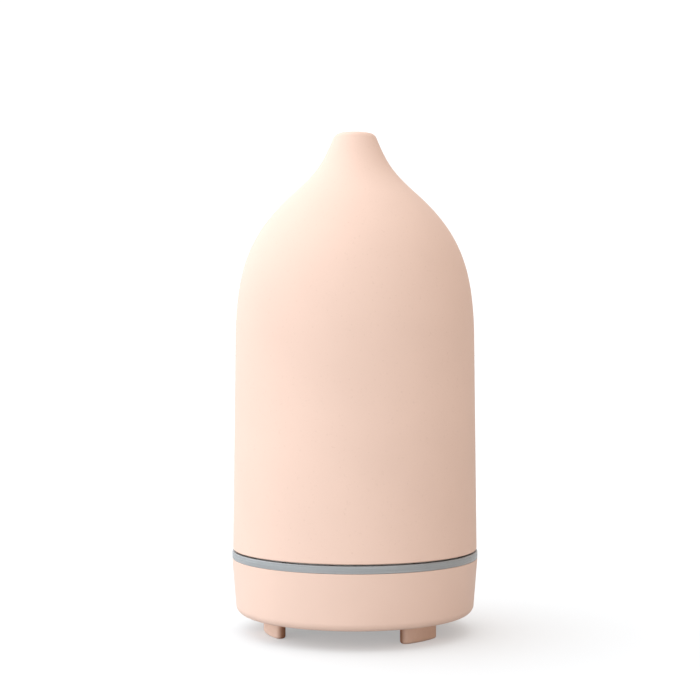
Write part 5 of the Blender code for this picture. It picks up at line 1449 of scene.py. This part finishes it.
def make_capacitor(top):
    """Electrolytic can: a dark sleeve with a crimp, and a bare scored top."""
    low, high, middle = span("capacitor")
    radius = (high.x - low.x) / 2
    sleeve = lathe("capacitor_sleeve", rounded([
        (0, high.z - 0.25 * MM, 0), (radius - 0.9 * MM, high.z - 0.25 * MM, 0),
        (radius - 0.9 * MM, high.z, 0.1 * MM), (radius, high.z, 0.5 * MM),
        (radius, top + 2.2 * MM, 0.4 * MM), (radius - 0.35 * MM, top + 1.7 * MM, 0.4 * MM),
        (radius, top + 1.2 * MM, 0.4 * MM), (radius, top, 0.4 * MM), (0, top, 0)], 4), SMALL,
        centre=middle)
    place(sleeve, sleeve_finish(middle.x + 2.6 * MM), "aluminium", "capacitor")
    cap_top = lathe("capacitor_top", rounded([
        (0, high.z - 0.05 * MM, 0), (radius - 1.0 * MM, high.z - 0.05 * MM, 0.1 * MM),
        (radius - 1.0 * MM, high.z - 0.24 * MM, 0), (0, high.z - 0.24 * MM, 0)], 3), SMALL,
        centre=middle)
    for turn in (0, 60, 120):
        bar = block("cutter", (-2 * MM, -0.1 * MM, high.z - 0.12 * MM),
                    (2 * MM, 0.1 * MM, high.z + MM), 0)
        boolean(cap_top, [turned_about(bar, middle, math.radians(turn))])
    place(cap_top, look("drawn_aluminium"), "aluminium")


def make_chip(top):
    """Controller chip with gull-wing legs."""
    low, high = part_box("board_chip")
    body = block("controller_chip", (low.x + 0.9 * MM, low.y, top + 0.1 * MM),
                 (high.x - 0.9 * MM, high.y, high.z), 0.2 * MM)
    place(body, look("black_plastic"), "black_plastic", "board_chip")
    legs = []
    for index in range(CHIP_LEGS):
        y = low.y + (high.y - low.y) * (index + 0.5) / CHIP_LEGS
        for side, edge, tip in ((-1, low.x + 0.95 * MM, low.x), (1, high.x - 0.95 * MM, high.x)):
            knee = edge + side * 0.35 * MM
            outline = [(edge, 0.95), (knee, 0.95), (knee + side * 0.2 * MM, 0.25), (tip, 0.25),
                       (tip, 0.05), (knee + side * 0.05 * MM, 0.05),
                       (knee - side * 0.15 * MM, 0.75), (edge, 0.75)]
            bm = bmesh.new()
            bridge(bm, [[bm.verts.new((x, y + half, top + z * MM)) for x, z in outline]
                        for half in (-0.2 * MM, 0.2 * MM)])
            legs.append(finish_mesh(bm, "leg"))
    place(joined("chip_legs", legs), look("zinc_steel"), "screw_steel")


def make_transistor(top):
    """Upright power transistor: moulded body, metal tab and three legs."""
    low, high, middle = span("power_transistor")
    body = block("transistor_body", (low.x + 0.3 * MM, low.y, top + 2.4 * MM),
                 (high.x - 1.0 * MM, high.y, high.z - 2.4 * MM), 0.3 * MM)
    place(body, look("black_plastic"), "black_plastic", "power_transistor")
    tab = block("transistor_tab", (high.x - 1.0 * MM, low.y, top + 2.4 * MM),
                (high.x, high.y, high.z), 0.15 * MM)
    place(tab, look("drawn_aluminium"), "aluminium")
    legs = [block("leg", (middle.x - 0.25 * MM, middle.y + side * 2.54 * MM - 0.4 * MM, top),
                  (middle.x + 0.25 * MM, middle.y + side * 2.54 * MM + 0.4 * MM, top + 2.5 * MM),
                  0.08 * MM) for side in (-1, 0, 1)]
    place(joined("transistor_legs", legs), look("zinc_steel"), "screw_steel")


def make_heat_sink(top):
    """Finned block behind the transistor."""
    low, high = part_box("heat_sink")
    fins = 5
    fin = 1.1 * MM
    pitch = (high.y - low.y - fin) / (fins - 1)
    outline = [(low.x, low.y)]
    for index in range(fins):
        start = low.y + index * pitch
        outline += [(high.x - 0.2 * MM, start), (high.x, start + 0.2 * MM),
                    (high.x, start + fin - 0.2 * MM), (high.x - 0.2 * MM, start + fin)]
        if index < fins - 1:
            outline += [(low.x + 1.6 * MM, start + fin), (low.x + 1.4 * MM, start + fin + 0.2 * MM),
                        (low.x + 1.4 * MM, start + pitch - 0.2 * MM),
                        (low.x + 1.6 * MM, start + pitch)]
    outline.append((low.x, high.y))
    sink = prism("cooling_fins", outline, top, high.z, 0.12 * MM, 2)
    place(sink, look("drawn_aluminium"), "aluminium", "heat_sink")


def make_connector(name, top):
    """Two-way header with its plug pushed in."""
    low, high, middle = span(name)
    shell = block(name + "_header", (low.x, low.y, top), (high.x, high.y, high.z - 1.2 * MM),
                  0.15 * MM)
    boolean(shell, [block("cutter", (low.x + 0.6 * MM, low.y + 0.6 * MM, top + 1.0 * MM),
                          (high.x - 0.6 * MM, high.y - 0.6 * MM, high.z), 0),
                    block("cutter", (high.x - MM, middle.y - 0.9 * MM, top + 2.2 * MM),
                          (high.x + MM, middle.y + 0.9 * MM, high.z), 0)])
    place(shell, look("ivory_plastic"), "board_white", name)
    plug = block(name + "_plug", (low.x + 0.7 * MM, low.y + 0.7 * MM, top + 1.1 * MM),
                 (high.x - 0.7 * MM, high.y - 0.7 * MM, high.z), 0.2 * MM)
    ports = [hole_tool(0.62 * MM, high.z - 0.8 * MM, high.z + MM, middle.x,
                       middle.y + side * LEAD_SPLIT, SMALL // 2) for side in (-1, 1)]
    boolean(plug, ports)
    place(plug, look("white_plastic"), "board_white")


def make_led_board():
    """White ring board with six LEDs and their resistors."""
    low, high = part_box("led_board")
    outer = high.x
    inner = outer - LED_BOARD_WIDTH
    board = lathe("led_ring", rounded([
        (outer, high.z, 0.1 * MM), (outer, low.z, 0.1 * MM), (inner, low.z, 0.1 * MM),
        (inner, high.z, 0.1 * MM)], 2))
    boolean(board, screw_holes(spots("tank_screw", 3), low.z - MM, high.z + MM))
    place(board, white_board_finish(), "board_white", "led_board")
    resistors = []
    for name in numbered("led", 6):
        make_led(name, high.z)
        middle = span(name)[2]
        angle = math.degrees(math.atan2(middle.y, middle.x)) + 8
        resistors.append((*polar(math.hypot(middle.x, middle.y), angle), angle))
    make_small_parts("led_resistors", resistors, high.z)


def make_led(name, surface):
    """A square LED: white body with a round well of yellow resin."""
    high, middle = span(name)[1:]
    angle = math.atan2(middle.y, middle.x)
    half = LED_HALF
    tall = high.z - surface
    body = block(name + "_body", (-half, -half, 0), (half, half, tall), 0.12 * MM)
    boolean(body, [lathe("cutter", [(0, tall + MM), (1.35 * MM, tall + MM), (1.2 * MM, tall),
                                    (0.95 * MM, tall - 0.55 * MM), (0, tall - 0.55 * MM)], 32)])
    move = Matrix.Translation((middle.x, middle.y, surface)) @ Matrix.Rotation(angle, 4, "Z")
    body.data.transform(move)
    place(body, look("ivory_plastic"), "board_white", name)
    lens = lathe(name + "_lens", [(0, tall - 0.02 * MM), (0.6 * MM, tall - 0.03 * MM),
                                  (1.1 * MM, tall - 0.08 * MM), (0.93 * MM, tall - 0.5 * MM),
                                  (0, tall - 0.5 * MM)], 32)
    lens.data.transform(move)
    place(lens, look("led_resin"), "led_resin")


def make_rear_board():
    """Upright board that carries the switches, notched round the socket."""
    low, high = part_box("rear_board")
    jack_low, jack_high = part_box("power_socket")
    board = block("switch_board", low, high, 0.1 * MM)
    boolean(board, [block("cutter", (jack_low.x - 0.2 * MM, low.y - MM, low.z - MM),
                          (jack_high.x + 0.2 * MM, high.y + MM, jack_high.z + 0.2 * MM), 0)])
    place(board, board_finish("upright_mask", (1, 0, 1), (0, 1, 0)), "board_green",
          "rear_board")


def smooth_path(stops, per_span=10):
    """Points on a smooth curve through the stops."""
    ends = [stops[0]] + list(stops) + [stops[-1]]
    path = []
    for index in range(len(stops) - 1):
        before, start, end, after = ends[index:index + 4]
        for step in range(per_span):
            t = step / per_span
            path.append(Vector([
                0.5 * (2 * start[k] + (end[k] - before[k]) * t
                       + (2 * before[k] - 5 * start[k] + 4 * end[k] - after[k]) * t ** 2
                       + (3 * start[k] - before[k] - 3 * end[k] + after[k]) * t ** 3)
                for k in range(3)]))
    path.append(Vector(stops[-1]))
    return path


def tube(name, path, radius, sides=14):
    """A round tube with closed, flat ends along a path."""
    bm = bmesh.new()
    loops = []
    side_way = Vector((0, 1, 0))
    last = len(path) - 1
    for index, point in enumerate(path):
        ahead = (path[min(index + 1, last)] - path[max(index - 1, 0)]).normalized()
        side_way = (side_way - ahead * side_way.dot(ahead)).normalized()
        other = ahead.cross(side_way)
        loops.append([bm.verts.new(point + radius * (side_way * math.cos(math.tau * n / sides)
                                                     + other * math.sin(math.tau * n / sides)))
                      for n in range(sides)])
    bridge(bm, loops)
    return finish_mesh(bm, name)


def make_leads():
    """Each lead is a pair of thin insulated wires, twisted a little on the way."""
    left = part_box("main_board")[0].x
    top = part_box("fan_connector")[1].z
    disc_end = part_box("mist_disc")[0].z + 0.1 * MM
    fan_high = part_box("fan_frame")[1]
    led_low, led_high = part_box("led_board")
    led_x, led_y = polar(led_high.x - LED_BOARD_WIDTH - 1.0 * MM, 50)
    routes = {
        "disc_wire": [(left + 6 * MM, 0.0, top), (left + 6 * MM, 0.0, top + 4 * MM),
                      (left + 2 * MM, 0.0, (top + disc_end) / 2), (0.0, 0.0, disc_end - 4 * MM),
                      (0.0, 0.0, disc_end)],
        "fan_wire": [(left + 6 * MM, -8 * MM, top), (left + 6 * MM, -8 * MM, top + 3 * MM),
                     (left + 1 * MM, -9 * MM, top + 5 * MM),
                     (fan_high.x - 2.5 * MM, -10 * MM, top + 3 * MM),
                     (fan_high.x - 3.5 * MM, -10.5 * MM, fan_high.z + 0.2 * MM)],
        "led_wire": [(left + 14 * MM, 13 * MM, top), (left + 14 * MM, 13 * MM, top + 3 * MM),
                     (left + 16 * MM, 19 * MM, led_low.z), (led_x, led_y, led_high.z)],
    }
    for name, stops in routes.items():
        path = smooth_path(stops)
        last = len(path) - 1
        for strand, colour in enumerate(("wire_red", "wire_black")):
            offset_path = []
            for index, point in enumerate(path):
                share = index / last
                spread = LEAD_SPLIT - (LEAD_SPLIT - 0.45 * MM) * min(1.0, share * 6)
                turn = math.pi * strand + 2.2 * math.pi * max(0.0, share - 0.15)
                ahead = (path[min(index + 1, last)] - path[max(index - 1, 0)]).normalized()
                sideways = Vector((0, 1, 0)) - ahead * ahead.y
                sideways.normalize()
                sideways.rotate(Matrix.Rotation(turn, 3, ahead))
                offset_path.append(point + sideways * spread)
            start = offset_path[0] - Vector((0, 0, 0.7 * MM))
            wire = tube("%s_%s" % (name, ("live", "return")[strand]), [start] + offset_path,
                        LEAD_RADIUS)
            place(wire, look(colour), "wire_red", *([name] if strand == 0 else []))


# ======================================================================================
# Stage: floor, light and camera
# ======================================================================================
CAMERA_AZIMUTH = 12.0         # the object's front is turned this far from the camera
CAMERA_DISTANCE = 552 * MM
CAMERA_HEIGHT = 104.1 * MM
CAMERA_ASIDE = 1.83 * MM      # the object stands a little right of the picture's middle
CAMERA_LENS = 76.16
SENSOR_WIDTH = 36.0
LIGHT_ALL_ROUND = (1.08, 1.08, 1.075)
LIGHT_LEFT = (0.86, 1.01, 1.13)   # added towards the left, taken away on the right
LIGHT_TOP = (0.43, 0.49, 0.54)    # added overhead
BACKDROP = 1.1                    # what the camera sees behind the object
FLOOR_SIZE = 30.0                 # half its width, in metres
FLOOR_BOUNCE = 0.60               # how much of its light the floor gives back
FLOOR_GREY = 0.52                 # what the camera sees of the floor's own tone
FLOOR_GLOW = 0.36                 # a light-table glow that keeps its shadows pale


def make_floor():
    """A wide white floor that can be seen through from below."""
    bm = bmesh.new()
    bmesh.ops.create_grid(bm, x_segments=1, y_segments=1, size=FLOOR_SIZE)
    floor = finish_mesh(bm, "floor")
    made = Finish("floor_white", 0.9, specular=0.1)
    ray = made.node("ShaderNodeLightPath")
    grain = made.noise(0.5, 2)
    tones = [made.ramp(grain, [(0.3, (share * 0.99,) * 3), (0.7, (share,) * 3)])
             for share in (FLOOR_BOUNCE, FLOOR_GREY)]
    made.colour(made.mix(ray.outputs["Is Camera Ray"], *tones))
    made.shader.inputs["Emission Color"].default_value = (1, 1, 1, 1)
    made.link(made.spread(ray.outputs["Is Camera Ray"], 0.0, FLOOR_GLOW),
              made.shader.inputs["Emission Strength"])
    behind = made.node("ShaderNodeNewGeometry").outputs["Backfacing"]
    through = made.node("ShaderNodeMath", operation="MAXIMUM")
    made.link(behind, through.inputs[0])
    made.link(ray.outputs["Transparent Depth"], through.inputs[1])
    clear = made.node("ShaderNodeBsdfTransparent")
    choose = made.node("ShaderNodeMixShader")
    made.link(through.outputs["Value"], choose.inputs["Fac"])
    made.link(made.shader.outputs["BSDF"], choose.inputs[1])
    made.link(clear.outputs["BSDF"], choose.inputs[2])
    made.link(choose.outputs["Shader"], made.tree.nodes["Material Output"].inputs["Surface"])
    floor.data.materials.append(made.material)


def make_light():
    """A large soft surround: brighter from the left and from above, white to the camera."""
    world = bpy.data.worlds.new("surround")
    bpy.context.scene.world = world
    world.use_nodes = True
    tree = world.node_tree
    links = tree.links
    way = tree.nodes.new("ShaderNodeTexCoord").outputs["Generated"]
    total = LIGHT_ALL_ROUND
    for direction, colour in ((left_of_camera(), LIGHT_LEFT), (Vector((0, 0, 1)), LIGHT_TOP)):
        share = tree.nodes.new("ShaderNodeVectorMath")
        share.operation = "DOT_PRODUCT"
        links.new(way, share.inputs[0])
        share.inputs[1].default_value = direction
        scaled = tree.nodes.new("ShaderNodeVectorMath")
        scaled.operation = "SCALE"
        scaled.inputs[0].default_value = colour
        links.new(share.outputs["Value"], scaled.inputs["Scale"])
        added = tree.nodes.new("ShaderNodeVectorMath")
        added.operation = "ADD"
        links.new(scaled.outputs["Vector"], added.inputs[0])
        if isinstance(total, tuple):
            added.inputs[1].default_value = total
        else:
            links.new(total, added.inputs[1])
        total = added.outputs["Vector"]
    sky = tree.nodes["Background"]
    links.new(total, sky.inputs["Color"])
    seen = tree.nodes.new("ShaderNodeBackground")
    seen.inputs["Color"].default_value = (1, 1, 1, 1)
    seen.inputs["Strength"].default_value = BACKDROP
    ray = tree.nodes.new("ShaderNodeLightPath")
    choose = tree.nodes.new("ShaderNodeMixShader")
    links.new(ray.outputs["Is Camera Ray"], choose.inputs["Fac"])
    links.new(sky.outputs["Background"], choose.inputs[1])
    links.new(seen.outputs["Background"], choose.inputs[2])
    links.new(choose.outputs["Shader"], tree.nodes["World Output"].inputs["Surface"])


def left_of_camera():
    """The direction to the camera's left."""
    angle = math.radians(CAMERA_AZIMUTH)
    return -Vector((math.cos(angle), math.sin(angle), 0))


def make_camera():
    """Level camera at the height of the picture's middle, a little left of the object."""
    angle = math.radians(CAMERA_AZIMUTH)
    away = Vector((math.sin(angle), -math.cos(angle), 0))
    right = Vector((math.cos(angle), math.sin(angle), 0))
    lens = bpy.data.cameras.new("view")
    lens.sensor_width = SENSOR_WIDTH
    lens.lens = CAMERA_LENS
    lens.clip_start = 10 * MM
    camera = bpy.data.objects.new("view", lens)
    camera.location = away * CAMERA_DISTANCE - right * CAMERA_ASIDE
    camera.location.z = CAMERA_HEIGHT
    camera.rotation_euler = (math.pi / 2, 0, angle)
    bpy.context.scene.collection.objects.link(camera)
    bpy.context.scene.camera = camera
    bpy.context.scene.view_settings.view_transform = "Standard"


for make_part in (make_camera, make_floor, make_light, make_cover, make_ring, make_base,
                  make_bottom_plate, make_feet):
    make_part()
for side in ("mist", "light"):
    make_button(side)
    make_plunger(side)
    make_switch(side)
for make_part in (make_rear_board, make_socket, make_tank, make_duct, make_lid, make_mist_disc,
                  make_seal, make_retainer, make_fan, make_main_board, make_led_board,
                  make_screws, make_leads):
    make_part()
